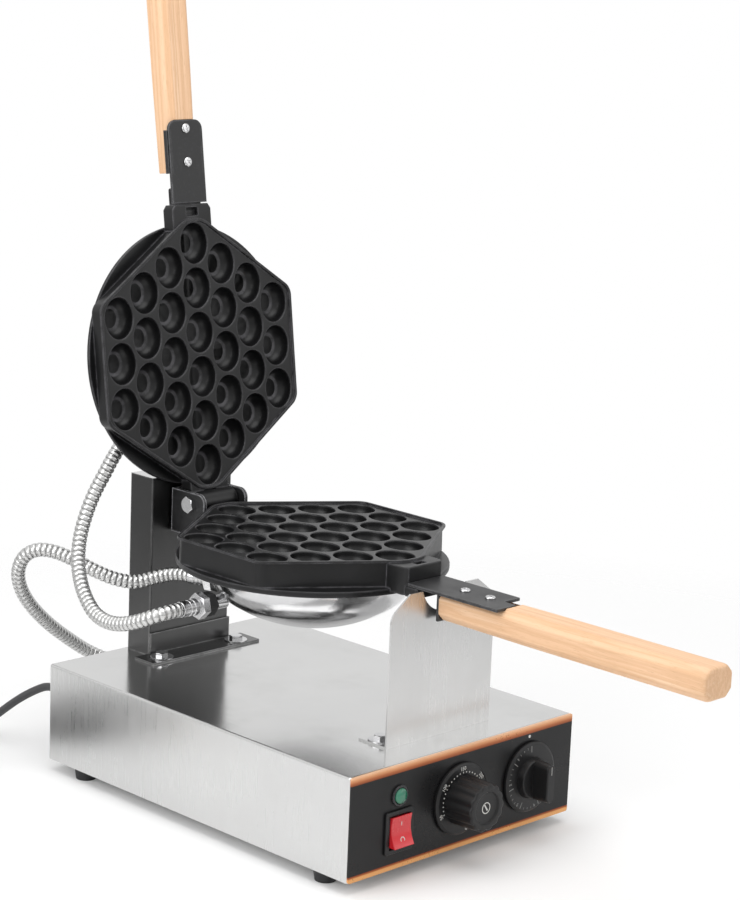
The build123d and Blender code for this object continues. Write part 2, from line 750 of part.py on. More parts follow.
with BuildPart() as column_foot:
    with BuildSketch(Plane.XY.offset(TOP_Z)):
        with Locations((0, (ANGLE_FRONT + COLUMN_FRONT) / 2)):
            Rectangle(ANGLE_W, COLUMN_FRONT - ANGLE_FRONT)
        with Locations(*column_bolt_places):
            Circle(BOLT_R + BOLT_FIT, mode=Mode.SUBTRACT)
    extrude(amount=ANGLE_T)
    with BuildSketch(Plane.XY.offset(TOP_Z + ANGLE_T)):
        with Locations((0, COLUMN_FRONT - ANGLE_T / 2)):
            Rectangle(COLUMN_W, ANGLE_T)
    extrude(amount=ANGLE_UP)
sub_parts["column_foot"] = column_foot

with BuildPart() as column_bolts:
    for place in column_bolt_places:
        seat = Plane(origin=(*place, TOP_Z + ANGLE_T), z_dir=(0, 0, 1))
        add(hex_bolt(seat, BOLT_HEAD, BOLT_HEAD_T, BOLT_R, ANGLE_T + SHEET + BOLT_PAST))
sub_parts["column_bolts"] = column_bolts

with BuildPart() as base_nuts:
    with BuildSketch(Plane.XY.offset(TOP_Z - SHEET)):
        with Locations(*column_bolt_places, *rest_bolt_places):
            RegularPolygon(BOLT_HEAD / 2, 6, major_radius=False)
            Circle(BOLT_R + SHAFT_FIT, mode=Mode.SUBTRACT)
    extrude(amount=-BASE_NUT_T)
sub_parts["base_nuts"] = base_nuts

bush_front = COLUMN_FRONT - BUSH_FLANGE_T
with BuildPart() as column_bush:
    with BuildSketch(shifted(turn_axis_plane, z=-bush_front)):
        Circle(BUSH_FLANGE_R)
    extrude(amount=-BUSH_FLANGE_T)
    with BuildSketch(shifted(turn_axis_plane, z=-COLUMN_FRONT)):
        Circle(TURN_SHAFT_R + TURN_FIT + BUSH_WALL)
    extrude(amount=-BUSH_L)
    with BuildSketch(shifted(turn_axis_plane, z=-bush_front)):
        Circle(TURN_SHAFT_R + TURN_FIT)
    extrude(amount=-(BUSH_FLANGE_T + BUSH_L), mode=Mode.SUBTRACT)
sub_parts["column_bush"] = column_bush

# Turning half: shaft, hinge bracket, lower mould
bracket_rear = bush_front - RUN_GAP
washer_y = COLUMN_FRONT + BUSH_L + RUN_GAP
nut_y = washer_y + TURN_WASHER_T
with BuildPart() as turn_shaft:
    shaft_rear = nut_y + TURN_NUT_T
    add(rod(shifted(turn_axis_plane, z=-shaft_rear), TURN_SHAFT_R, shaft_rear - bracket_rear))
sub_parts["turn_shaft"] = turn_shaft

with BuildPart() as turn_washer:
    with BuildSketch(shifted(turn_axis_plane, z=-washer_y)):
        Circle(TURN_WASHER_R)
        Circle(TURN_SHAFT_R + SHAFT_FIT, mode=Mode.SUBTRACT)
    extrude(amount=-TURN_WASHER_T)
sub_parts["turn_washer"] = turn_washer

with BuildPart() as turn_nut:
    with BuildSketch(shifted(turn_axis_plane, z=-nut_y)):
        RegularPolygon(TURN_NUT / 2, 6, major_radius=False)
        Circle(TURN_SHAFT_R + SHAFT_FIT, mode=Mode.SUBTRACT)
    extrude(amount=-TURN_NUT_T)
sub_parts["turn_nut"] = turn_nut

cheek_out = CHEEK_IN + CHEEK_T
bracket_h = BRACKET_HIGH - BRACKET_LOW
with BuildPart() as hinge_bracket:
    with BuildSketch(Plane.XY.offset(BRACKET_LOW)):
        with Locations((0, (CHEEK_FRONT + bracket_rear) / 2)):
            Rectangle(2 * cheek_out, bracket_rear - CHEEK_FRONT)
    extrude(amount=bracket_h)
    with BuildSketch(Plane.XY.offset(BRACKET_LOW + BRACKET_T)):
        with Locations((0, (CHEEK_FRONT + bracket_rear) / 2 - BRACKET_T)):
            Rectangle(2 * CHEEK_IN, bracket_rear - CHEEK_FRONT)
    extrude(amount=bracket_h, mode=Mode.SUBTRACT)
    top_edges = hinge_bracket.edges().filter_by(Axis.X).group_by(Axis.Z)[-1]
    fillet(top_edges.group_by(Axis.Y)[0], BRACKET_ROUND)
    with BuildSketch(hinge_axis_plane):
        Circle(HINGE_PIN_R + HINGE_FIT)
    extrude(amount=cheek_out, both=True, mode=Mode.SUBTRACT)
sub_parts["hinge_bracket"] = hinge_bracket

with BuildPart() as hinge_pin:
    pin_l = 2 * cheek_out + HINGE_NUT_T + HINGE_PAST
    add(rod(shifted(hinge_axis_plane, z=-cheek_out), HINGE_PIN_R, pin_l))
    with BuildSketch(shifted(hinge_axis_plane, z=-cheek_out)):
        RegularPolygon(HINGE_HEX / 2, 6, major_radius=False)
    extrude(amount=-HINGE_HEAD_T)
sub_parts["hinge_pin"] = hinge_pin

with BuildPart() as hinge_nut:
    with BuildSketch(shifted(hinge_axis_plane, z=cheek_out)):
        RegularPolygon(HINGE_HEX / 2, 6, major_radius=False)
        Circle(HINGE_PIN_R + SHAFT_FIT, mode=Mode.SUBTRACT)
    extrude(amount=HINGE_NUT_T)
sub_parts["hinge_nut"] = hinge_nut


def hexagon(inset=0.0):
    """The outline of a waffle plate: six sides, cut flat where the necks join."""
    flat_x = (HEX_APEX - HEX_FLAT) / HEX_SLOPE
    side_v = HEX_APEX - HEX_SLOPE * HEX_HALF_W
    with BuildSketch() as outline:
        with BuildLine():
            Polyline(
                (flat_x, HEX_FLAT),
                (HEX_HALF_W, side_v),
                (HEX_HALF_W, -side_v),
                (flat_x, -HEX_FLAT),
                (-flat_x, -HEX_FLAT),
                (-HEX_HALF_W, -side_v),
                (-HEX_HALF_W, side_v),
                (-flat_x, HEX_FLAT),
                close=True,
            )
        make_face()
        fillet(outline.vertices(), HEX_CORNER_R)
        if inset:
            offset(amount=-inset, mode=Mode.REPLACE)
    return outline.sketch


cell_places = []
for column, count in enumerate(COLUMN_COUNTS):
    cell_x = (column - (len(COLUMN_COUNTS) - 1) / 2) * CELL_X
    for row in range(count):
        cell_places.append((cell_x, (row - (count - 1) / 2) * CELL_V))


def cell_cutter(face):
    """One egg shaped cavity: a steep upper wall that rounds in to a small flat floor."""
    steps = ((0.0, 1.0), (CELL_MID, CELL_MID_SHARE), (1.0, CELL_FLOOR_SHARE))
    with BuildPart() as cutter:
        for depth, share in steps:
            with BuildSketch(shifted(face, z=-depth * CELL_DEPTH)):
                Ellipse(CELL_SEMI_X * share, CELL_SEMI_V * share)
        loft(ruled=True)
    return cutter.part


def waffle_casting(face, wall, disc_r, disc_t):
    """The cast plate shared by both moulds: hexagon, round flange, rim and thirty cavities."""
    with BuildPart() as casting:
        with BuildSketch(face):
            add(hexagon())
        extrude(amount=-wall)
        with BuildSketch(shifted(face, z=-wall)):
            Circle(disc_r)
        extrude(amount=-disc_t)
        with BuildSketch(face):
            add(hexagon())
            add(hexagon(RIM_W), mode=Mode.SUBTRACT)
        extrude(amount=RIM_H)
        cutter = cell_cutter(Plane.XY)
        for x, v in cell_places:
            add(cutter.moved(face.location * Pos(x, v, 0)), mode=Mode.SUBTRACT)
    return casting.part


lower_bottom = LOWER_WALL + LOWER_DISC_T
strip_under = FACE_Z - (STRIP_TOP - STRIP_T)
lower_lug_top = HINGE_Z - HINGE_LUG_R - 2 * RUN_GAP
lower_lug_low = BRACKET_LOW + BRACKET_T
with BuildPart() as lower_mould:
    add(waffle_casting(lower_face, LOWER_WALL, LOWER_DISC_R, LOWER_DISC_T))
    with BuildSketch(shifted(lower_face, z=-lower_bottom)):
        with Locations((0, -(CHEEK_FRONT - RUN_GAP - mould_y) - LOWER_DISC_R / 2)):
            Rectangle(2 * (cheek_out + RUN_GAP), LOWER_DISC_R)
    extrude(amount=LOWER_DISC_T + CHEEK_POCKET, mode=Mode.SUBTRACT)
    with BuildSketch(lower_face):
        with Locations((0, (HEX_FLAT + NECK_END - NECK_IN) / 2)):
            Rectangle(2 * NECK_HALF, NECK_END - HEX_FLAT + NECK_IN)
    extrude(amount=-LOWER_NECK_T)
    with BuildSketch(shifted(lower_face, z=-strip_under)):
        with Locations((0, (NECK_END + LOWER_NECK_END) / 2)):
            Rectangle(2 * NECK_HALF, LOWER_NECK_END - NECK_END)
    extrude(amount=-(LOWER_NECK_T - strip_under))
    with BuildSketch(Plane.XY.offset(lower_lug_low)):
        with Locations((0, (CHEEK_FRONT + HINGE_Y + HINGE_LUG_R - NECK_IN) / 2)):
            Rectangle(2 * (CHEEK_IN - CHEEK_GAP), HINGE_Y + HINGE_LUG_R - CHEEK_FRONT + NECK_IN)
    extrude(amount=lower_lug_top - lower_lug_low)
    with BuildSketch(shifted(lower_face, z=-lower_bottom)):
        Circle(LOWER_RECESS_R)
    extrude(amount=LOWER_RECESS, mode=Mode.SUBTRACT)
sub_parts["lower_mould"] = lower_mould

upper_back = UPPER_WALL + UPPER_DISC_T
strip_back = UPPER_STRIP_BACK + STRIP_T
with BuildPart() as upper_mould:
    add(waffle_casting(lid_face, UPPER_WALL, UPPER_DISC_R, UPPER_DISC_T))
    with BuildSketch(lid_face):
        with Locations((0, (HEX_FLAT + NECK_END - NECK_IN) / 2)):
            Rectangle(2 * NECK_HALF, NECK_END - HEX_FLAT + NECK_IN)
    extrude(amount=-UPPER_WALL)
    with BuildSketch(shifted(lid_face, z=-strip_back)):
        with Locations((0, NECK_END + TONGUE_L / 2 - TONGUE_IN)):
            Rectangle(2 * TONGUE_HALF, TONGUE_L)
    extrude(amount=-(UPPER_WALL - strip_back))
    with BuildSketch(lid_face):
        with Locations((0, -(HINGE_REACH + HEX_FLAT - NECK_IN) / 2)):
            Rectangle(2 * NECK_HALF, HINGE_REACH - HEX_FLAT + NECK_IN)
    extrude(amount=-UPPER_WALL)
    with BuildSketch(hinge_axis_plane):
        Circle(HINGE_LUG_R)
    extrude(amount=NECK_HALF, both=True)
    with BuildSketch(hinge_axis_plane):
        Circle(HINGE_PIN_R + HINGE_FIT)
    extrude(amount=NECK_HALF, both=True, mode=Mode.SUBTRACT)
sub_parts["upper_mould"] = upper_mould


def bowl(back, radius, depth, flange_r):
    """A pressed bowl with a flat flange; the plane is its seat, and it grows along the normal."""
    profile = Plane(origin=back.origin, x_dir=back.x_dir, z_dir=-back.y_dir)
    side_x = radius - BOWL_SIDE_R
    base_r = (side_x**2 + depth**2 - BOWL_SIDE_R**2) / (2 * (depth - BOWL_SIDE_R))
    meet = math.degrees(math.atan2(base_r - depth, side_x))
    lift = math.degrees(math.asin(BOWL_T / BOWL_SIDE_R))
    foot_x = side_x + BOWL_SIDE_R * math.cos(math.radians(lift))
    with BuildPart() as shell:
        with BuildSketch(profile):
            with BuildLine():
                CenterArc((side_x, 0), BOWL_SIDE_R, lift, meet - lift)
                CenterArc((0, depth - base_r), base_r, meet, 90 - meet)
                Line((0, depth), (0, depth - BOWL_T))
                CenterArc((0, depth - base_r), base_r - BOWL_T, meet, 90 - meet)
                CenterArc((side_x, 0), BOWL_SIDE_R - BOWL_T, 0, meet)
                Line((radius - BOWL_T, 0), (flange_r, 0))
                Line((flange_r, 0), (flange_r, BOWL_T))
                Line((flange_r, BOWL_T), (foot_x, BOWL_T))
            make_face()
        revolve(axis=Axis(back.origin, back.z_dir))
    return shell


def bowl_holes(back, circle):
    """The screw holes in a bowl's flange."""
    with BuildPart() as holes:
        with BuildSketch(back):
            with PolarLocations(circle, 4, start_angle=BOWL_SCREW_TURNS[0]):
                Circle(BOWL_SCREW_R + BOLT_FIT)
        extrude(amount=BOWL_T)
    return holes.part


lower_back = Plane(origin=(0, mould_y, FACE_Z - lower_bottom), x_dir=(1, 0, 0), z_dir=(0, 0, -1))
upper_seat = shifted(lid_face, z=-upper_back)
lid_back = Plane(origin=upper_seat.origin, x_dir=(-1, 0, 0), z_dir=-lid_normal)


def pressed_bowl(shell, screw_holes, hose_holes):
    """A bowl with its screw holes and the holes where the conduit fittings enter."""
    with shell:
        add(screw_holes, mode=Mode.SUBTRACT)
        for hole in hose_holes:
            add(hole, mode=Mode.SUBTRACT)
    return shell


def fitting_plane(origin, direction):
    """The plane at the inner end of a fitting, with its normal along the conduit."""
    side = Vector(0, 0, 1).cross(direction)
    return Plane(origin=origin, x_dir=side, z_dir=direction)


lower_axis = Vector(-1, 0, 0)
lower_fit_origin = Vector(-LOWER_FIT_START, LOWER_FIT_Y, LOWER_FIT_Z)
rear_turn = math.radians(REAR_FIT_ANGLE)
rear_axis = Vector(math.cos(rear_turn), math.sin(rear_turn), 0)
rear_fit_origin = Vector(0, mould_y, LOWER_FIT_Z) + rear_axis * REAR_FIT_START
upper_turn = math.radians(UPPER_FIT_ANGLE)
upper_axis = Vector(1, 0, 0) * math.cos(upper_turn) + lid_up * math.sin(upper_turn)
upper_fit_origin = lid_face.origin - lid_normal * UPPER_FIT_BACK + upper_axis * UPPER_FIT_START
base_fit_origin = Vector(BASE_FIT_X, REAR, BASE_FIT_Z)

lower_fit = fitting_plane(lower_fit_origin, lower_axis)
rear_fit = fitting_plane(rear_fit_origin, rear_axis)
upper_fit = Plane(origin=upper_fit_origin, x_dir=lid_normal, z_dir=upper_axis)
base_fit = fitting_plane(base_fit_origin, Vector(0, 1, 0))
fitting_l = FIT_NUT_L + FIT_HEX_L + FERRULE_L


def lock_nut(seat):
    """The black six sided nut against the wall, with its bore for the fitting's stub."""
    with BuildPart() as nut:
        with BuildSketch(seat):
            RegularPolygon(FIT_NUT_R, 6)
            Circle(HOSE_R + 2 * SHAFT_FIT, mode=Mode.SUBTRACT)
        extrude(amount=FIT_NUT_L)
        outer_face = nut.faces().sort_by(Axis(seat.origin, seat.z_dir))[-1]
        chamfer(outer_face.outer_wire().edges(), FIT_NUT_BEVEL)
    return nut.part


def hose_fitting(seat, stub):
    """The steel fitting: a stub through the wall, a hexagon and the ferrule round the hose."""
    with BuildPart() as body:
        add(rod(shifted(seat, z=-stub), HOSE_R, stub + FIT_NUT_L))
        with BuildSketch(shifted(seat, z=FIT_NUT_L)):
            RegularPolygon(FIT_HEX / 2, 6, major_radius=False)
        extrude(amount=FIT_HEX_L)
        with BuildSketch(shifted(seat, z=FIT_NUT_L + FIT_HEX_L)):
            Circle(FERRULE_R)
        extrude(amount=FERRULE_L)
        bore = rod(shifted(seat, z=-stub), HOSE_BORE_R, stub + fitting_l)
        add(bore, mode=Mode.SUBTRACT)
    return body.part


def wall_hole(seat):
    """The cutter for the hole in a bowl's wall."""
    return rod(shifted(seat, z=-2 * STUB), HOSE_R + BOLT_FIT, 3 * STUB)


lower_seat = shifted(lower_fit, z=LOWER_SEAT)
rear_seat = shifted(rear_fit, z=REAR_SEAT)
upper_fit_seat = shifted(upper_fit, z=UPPER_SEAT)

sub_parts["lower_bowl"] = pressed_bowl(
    bowl(lower_back, LOWER_BOWL_R, LOWER_BOWL_DEPTH, LOWER_FLANGE_R),
    bowl_holes(lower_back, LOWER_SCREW_CIRCLE),
    [wall_hole(lower_fit), wall_hole(rear_fit)],
)
sub_parts["upper_bowl"] = pressed_bowl(
    bowl(lid_back, UPPER_BOWL_R, UPPER_BOWL_DEPTH, UPPER_FLANGE_R),
    bowl_holes(lid_back, UPPER_SCREW_CIRCLE),
    [wall_hole(upper_fit)],
)

with BuildPart() as bowl_fittings:
    add(hose_fitting(lower_seat, STUB))
    add(hose_fitting(rear_seat, STUB))
sub_parts["bowl_fittings"] = bowl_fittings

with BuildPart() as bowl_lock_nuts:
    add(lock_nut(lower_seat))
    add(lock_nut(rear_seat))
sub_parts["bowl_lock_nuts"] = bowl_lock_nuts

with BuildPart() as lid_fitting:
    add(hose_fitting(upper_fit_seat, STUB))
sub_parts["lid_fitting"] = lid_fitting

with BuildPart() as lid_lock_nut:
    add(lock_nut(upper_fit_seat))
sub_parts["lid_lock_nut"] = lid_lock_nut

with BuildPart() as base_fitting:
    add(hose_fitting(base_fit, BASE_STUB))
sub_parts["base_fitting"] = base_fitting

with BuildPart() as base_lock_nut:
    add(lock_nut(base_fit))
sub_parts["base_lock_nut"] = base_lock_nut


def bowl_screws(back, circle):
    """Four screws through a bowl's flange into the casting."""
    with BuildPart() as screws:
        for turn in BOWL_SCREW_TURNS:
            x = circle * math.cos(math.radians(turn))
            v = circle * math.sin(math.radians(turn))
            seat = shifted(back, x, v, BOWL_T)
            add(pan_screw(seat, BOWL_SCREW_HEAD_R, BOWL_SCREW_HEAD_T, BOWL_SCREW_R, BOWL_T))
    return screws


sub_parts["lower_bowl_screws"] = bowl_screws(lower_back, LOWER_SCREW_CIRCLE)
sub_parts["upper_bowl_screws"] = bowl_screws(lid_back, UPPER_SCREW_CIRCLE)


def ring_element(centre):
    """A tubular heater bent to an open ring, with both ends turned away from the casting."""
    with BuildPart() as element:
        with Locations(centre * Rot(0, 0, ELEMENT_GAP / 2)):
            Torus(ELEMENT_R, ELEMENT_TUBE_R, major_angle=360 - ELEMENT_GAP)
        for side in (-1, 1):
            turn = math.radians(side * ELEMENT_GAP / 2)
            foot = shifted(centre, ELEMENT_R * math.cos(turn), ELEMENT_R * math.sin(turn))
            add(rod(foot, ELEMENT_PIN_R, ELEMENT_PIN))
    return element


sub_parts["lower_element"] = ring_element(
    shifted(lower_back, z=RUN_GAP + ELEMENT_TUBE_R - LOWER_RECESS)
)
sub_parts["upper_element"] = ring_element(shifted(lid_back, z=RUN_GAP + ELEMENT_TUBE_R))

# Handles: steel strips screwed to the necks, wooden grips let in under them
strip_low = STRIP_TOP - STRIP_T
with BuildPart() as lower_strip:
    with BuildSketch(Plane.XY.offset(strip_low)):
        with BuildLine():
            Polyline(
                (-STRIP_HALF, STRIP_START),
                (STRIP_HALF, STRIP_START),
                (STRIP_HALF, STRIP_NOTCH_END),
                (STRIP_NOTCH_X, STRIP_NOTCH_END),
                (STRIP_NOTCH_X, STRIP_END),
                (-STRIP_HALF, STRIP_END),
                close=True,
            )
        make_face()
    extrude(amount=STRIP_T)
    with BuildSketch(Plane.XY.offset(strip_low)):
        with Locations((0, STRIP_TAB_Y - STRIP_T / 2)):
            Rectangle(2 * (WOOD_HALF - STRIP_TAB_IN), STRIP_T)
    extrude(amount=-STRIP_TAB_DROP)
sub_parts["lower_strip"] = lower_strip

strip_v0 = UPPER_STRIP_START - HINGE_REACH
strip_v1 = UPPER_STRIP_END - HINGE_REACH
lip_v0 = UPPER_LIP_START - HINGE_REACH
lip_v1 = strip_v1 - UPPER_STRIP_CORNER
with BuildPart() as upper_strip:
    with BuildSketch(shifted(lid_face, z=-strip_back)):
        with Locations((0, (strip_v0 + strip_v1) / 2)):
            Rectangle(2 * UPPER_STRIP_HALF, strip_v1 - strip_v0)
    extrude(amount=STRIP_T)
    outer_corners = upper_strip.edges().filter_by(Axis(lid_face.origin, lid_normal))
    fillet(outer_corners.sort_by(Axis(lid_face.origin, lid_up))[-2:], UPPER_STRIP_CORNER)
    with BuildSketch(shifted(lid_face, z=-strip_back)):
        for side in (-1, 1):
            with Locations((side * (UPPER_STRIP_HALF - UPPER_LIP_T / 2), (lip_v0 + lip_v1) / 2)):
                Rectangle(UPPER_LIP_T, lip_v1 - lip_v0)
    extrude(amount=-(UPPER_LIP_DEPTH - STRIP_T))
sub_parts["upper_strip"] = upper_strip


def wooden_grip(start, length, height, rebate_l, rebate_depth):
    """A chamfered square grip, slimmer at its inner end, with a shallow seat for the strip."""
    with BuildPart() as grip:
        for run, slim in ((0.0, WOOD_SLIM), (length, 0.0)):
            with BuildSketch(shifted(start, y=-(height - slim) / 2, z=run)) as section:
                Rectangle(2 * (WOOD_HALF - slim), height - slim)
                chamfer(section.vertices(), WOOD_CHAMFER)
        loft(ruled=True)
        fillet(
            grip.faces().sort_by(Axis(start.origin, start.z_dir))[-1].edges(), WOOD_END_ROUND
        )
        with BuildSketch(start):
            Rectangle(4 * WOOD_HALF, 2 * rebate_depth)
        extrude(amount=rebate_l, mode=Mode.SUBTRACT)
    return grip


wood_l = WOOD_START - WOOD_END
lower_grip_plane = Plane(
    origin=(0, WOOD_START, STRIP_TOP - WOOD_PROUD), x_dir=(1, 0, 0), z_dir=(0, -1, 0)
)
lower_handle = wooden_grip(
    lower_grip_plane,
    wood_l,
    WOOD_H,
    WOOD_START - STRIP_END + WOOD_GAP,
    STRIP_T - WOOD_PROUD,
)
sub_parts["lower_handle"] = lower_handle

upper_grip_back = LID_SETBACK + UPPER_STRIP_BACK + WOOD_PROUD
upper_grip_origin = hinge_point + lid_up * UPPER_WOOD_START - lid_normal * upper_grip_back
upper_grip_plane = Plane(origin=upper_grip_origin, x_dir=(-1, 0, 0), z_dir=lid_up)
upper_handle = wooden_grip(
    upper_grip_plane,
    wood_l,
    UPPER_WOOD_H,
    UPPER_STRIP_END - UPPER_WOOD_START + WOOD_GAP,
    STRIP_T - WOOD_PROUD,
)
sub_parts["upper_handle"] = upper_handle

lower_screw_places = [(0, y) for y in LOWER_SCREWS_Y]


def handle_screw(seat):
    """A round headed screw that holds a strip to its wooden grip."""
    return pan_screw(
        seat, HANDLE_SCREW_HEAD_R, HANDLE_SCREW_HEAD_T, HANDLE_SCREW_R, HANDLE_SCREW_L
    )


lower_screw_seats = [
    Plane(origin=(*place, STRIP_TOP), z_dir=(0, 0, 1)) for place in lower_screw_places
]
upper_screw_seats = [
    shifted(lid_face, y=reach - HINGE_REACH, z=-UPPER_STRIP_BACK) for reach in UPPER_SCREWS_V
]
with BuildPart() as lower_strip_screws:
    for seat in lower_screw_seats:
        add(handle_screw(seat))
sub_parts["lower_strip_screws"] = lower_strip_screws

with BuildPart() as upper_strip_screws:
    for seat in upper_screw_seats:
        add(handle_screw(seat))
sub_parts["upper_strip_screws"] = upper_strip_screws


def drill(piece, seats):
    """Cut the holes that the screws stand in, a little wider and deeper than their shanks."""
    with piece:
        for seat in seats:
            low_end = shifted(seat, z=-HANDLE_SCREW_L - BOLT_FIT)
            hole_l = HANDLE_SCREW_L + BOLT_FIT + HANDLE_SCREW_HEAD_T
            add(rod(low_end, HANDLE_SCREW_R + SHAFT_FIT, hole_l), mode=Mode.SUBTRACT)


drill(lower_strip, lower_screw_seats)
drill(lower_handle, lower_screw_seats)
drill(upper_strip, upper_screw_seats)
drill(upper_handle, upper_screw_seats)

# Front rest
rest_face = Plane(origin=(0, REST_Y, 0), x_dir=(1, 0, 0), z_dir=(0, -1, 0))
with BuildPart() as front_rest:
    with BuildSketch(rest_face):
        with BuildLine():
            Polyline(
                (-REST_HALF, TOP_Z),
                (REST_HALF, TOP_Z),
                (REST_HALF, REST_SHOULDER_Z),
                (REST_SHOULDER_X, REST_TOP),
                (-REST_SHOULDER_X, REST_TOP),
                (-REST_HALF, REST_SHOULDER_Z),
                close=True,
            )
        make_face()
        with Locations((0, TURN_Z)):
            Circle(REST_NOTCH_R, mode=Mode.SUBTRACT)
    extrude(amount=-REST_T)
    fillet(front_rest.edges().filter_by(Axis.Y).group_by(Axis.Z)[1], REST_CORNER)
    with BuildSketch(Plane.XY.offset(TOP_Z)):
        with Locations((0, REST_Y + REST_FOOT / 2)):
            Rectangle(2 * REST_HALF, REST_FOOT)
        with Locations(*rest_bolt_places):
            Circle(BOLT_R + BOLT_FIT, mode=Mode.SUBTRACT)
    extrude(amount=REST_T)
sub_parts["front_rest"] = front_rest

with BuildPart() as rest_bolts:
    for place in rest_bolt_places:
        seat = Plane(origin=(*place, TOP_Z + REST_T), z_dir=(0, 0, 1))
        add(hex_bolt(seat, BOLT_HEAD, BOLT_HEAD_T, BOLT_R, REST_T + SHEET + BOLT_PAST))
sub_parts["rest_bolts"] = rest_bolts

# Conduits: each a ribbed hose between two fittings
ferrule_a = lower_seat.origin + lower_axis * fitting_l
ferrule_b = upper_fit_seat.origin + upper_axis * fitting_l
ferrule_c = rear_seat.origin + rear_axis * fitting_l
ferrule_d = base_fit_origin + Vector(0, fitting_l, 0)
lid_route = [
    (-134, 38, 168.5),
    (-139, 50, 162.5),
    (-141, 66, 157),
    (-141, 82, 154),
    (-140, 97, 154.5),
    (-138, 111, 158.5),
    (-133, 130, 171),
    (-125, 146, 188),
    (-115, 156, 207),
    (-105.5, 159.5, 225),
    (-97, 160, 241),
    (-88, 158.6, 255.5),
]
base_route = [
    (-50, 131, 168),
    (-65, 142, 162),
    (-79, 152, 165),
    (-90, 165, 171),
    (-98, 181, 178),
    (-107, 197, 184),
    (-116, 211, 185),
    (-122, 223, 177),
    (-122, 231, 161),
    (-115, 235, 144),
    (-103, 238, 128),
    (-88, 240, 113),
    (-71, 243, 99),
    (-53, 246, 86),
    (-35, 246, 73),
    (-21, 239, 65),
]


def smooth_radii(points):
    """The largest arc at each corner that its two runs leave room for."""
    radii = []
    for before, corner, after in zip(points, points[1:], points[2:]):
        a = Vector(*corner) - Vector(*before)
        b = Vector(*after) - Vector(*corner)
        half_turn = math.radians(a.get_angle(b)) / 2
        radii.append(0.45 * min(a.length, b.length) / math.tan(half_turn))
    return radii


def route_line(name, points):
    """A route of straight runs joined by tangent arcs; its radii and length are printed."""
    radii = smooth_radii(points)
    with BuildLine() as line:
        FilletPolyline(*points, radius=radii)
    wire = line.wire()
    print(name, "radii", [round(r) for r in radii], "length", round(wire.length, 1))
    return wire


def tube_through(rings):
    """The straight sided solid through a row of circles, lofted the way that faces outwards."""
    tube = loft(rings, ruled=True, mode=Mode.PRIVATE)
    if tube.volume < 0:
        tube = loft(rings[::-1], ruled=True, mode=Mode.PRIVATE)
    return tube


def ribbed_hose(name, points, steady):
    """A flexible metal conduit: ribs lofted through four circles each, round an open bore."""
    wire = route_line(name, points)
    shape = ((0.0, HOSE_ROOT), (CREST_START, HOSE_R), (CREST_END, HOSE_R), (1.0, HOSE_ROOT))

    def ring(share, radius):
        tangent = wire.tangent_at(share)
        across = steady - tangent * steady.dot(tangent)
        seat = Plane(origin=wire.position_at(share), x_dir=across, z_dir=tangent)
        with BuildSketch(seat) as circle:
            Circle(radius)
        return circle.sketch

    ribs = [
        tube_through([ring((rib + step) / HOSE_RIBS, radius) for step, radius in shape])
        for rib in range(HOSE_RIBS)
    ]
    with BuildPart() as hose:
        add(ribs)
        with BuildSketch(Plane(origin=wire.position_at(0), z_dir=wire.tangent_at(0))):
            Circle(HOSE_BORE_R)
        sweep(path=wire, mode=Mode.SUBTRACT)
    expect = math.pi * (((HOSE_R + HOSE_ROOT) / 2) ** 2 - HOSE_BORE_R**2) * wire.length
    print(name, "volume", round(hose.part.volume), "plain tube of mean wall", round(expect))
    return hose


lid_points = [
    tuple(ferrule_a), tuple(ferrule_a + lower_axis * HOSE_LEAD), *lid_route,
    tuple(ferrule_b + upper_axis * HOSE_LEAD), tuple(ferrule_b),
]
base_points = [
    tuple(ferrule_c), tuple(ferrule_c + rear_axis * HOSE_LEAD), *base_route,
    tuple(ferrule_d + Vector(0, HOSE_LEAD, 0)), tuple(ferrule_d),
]
sub_parts["conduit_lid"] = ribbed_hose("conduit_lid", lid_points, Vector(1, 0, 0.2))
sub_parts["conduit_base"] = ribbed_hose("conduit_base", base_points, Vector(0.2, 0, 1))

# Mains lead: gland, free stretch, coil with its tie, and plug
gland_face = shifted(rear_face, -CORD_X, CORD_Z)
with BuildPart() as cord_gland:
    with BuildSketch(gland_face):
        RegularPolygon(GLAND_R * 1.15, 6)
    extrude(amount=GLAND_NUT_T)
    with BuildSketch(shifted(gland_face, z=GLAND_NUT_T)):
        Circle(SLEEVE_R)
    with BuildSketch(shifted(gland_face, z=GLAND_NUT_T + SLEEVE_L)):
        Circle(SLEEVE_TIP_R)
    loft(ruled=True)
    for groove in range(GROOVES):
        along = GROOVE_START + groove * GROOVE_PITCH
        outer = SLEEVE_R + (SLEEVE_TIP_R - SLEEVE_R) * along / SLEEVE_L
        with BuildSketch(shifted(gland_face, z=GLAND_NUT_T + along)):
            Circle(outer + GROOVE_DEPTH)
            Circle(outer - GROOVE_DEPTH, mode=Mode.SUBTRACT)
        extrude(amount=GROOVE_W, mode=Mode.SUBTRACT)
    add(rod(shifted(gland_face, z=-GLAND_NECK_L), GLAND_NECK_R, GLAND_NECK_L))
    add(rod(shifted(gland_face, z=-SHEET - GLAND_BACK_T), GLAND_R, GLAND_BACK_T))
sub_parts["cord_gland"] = cord_gland

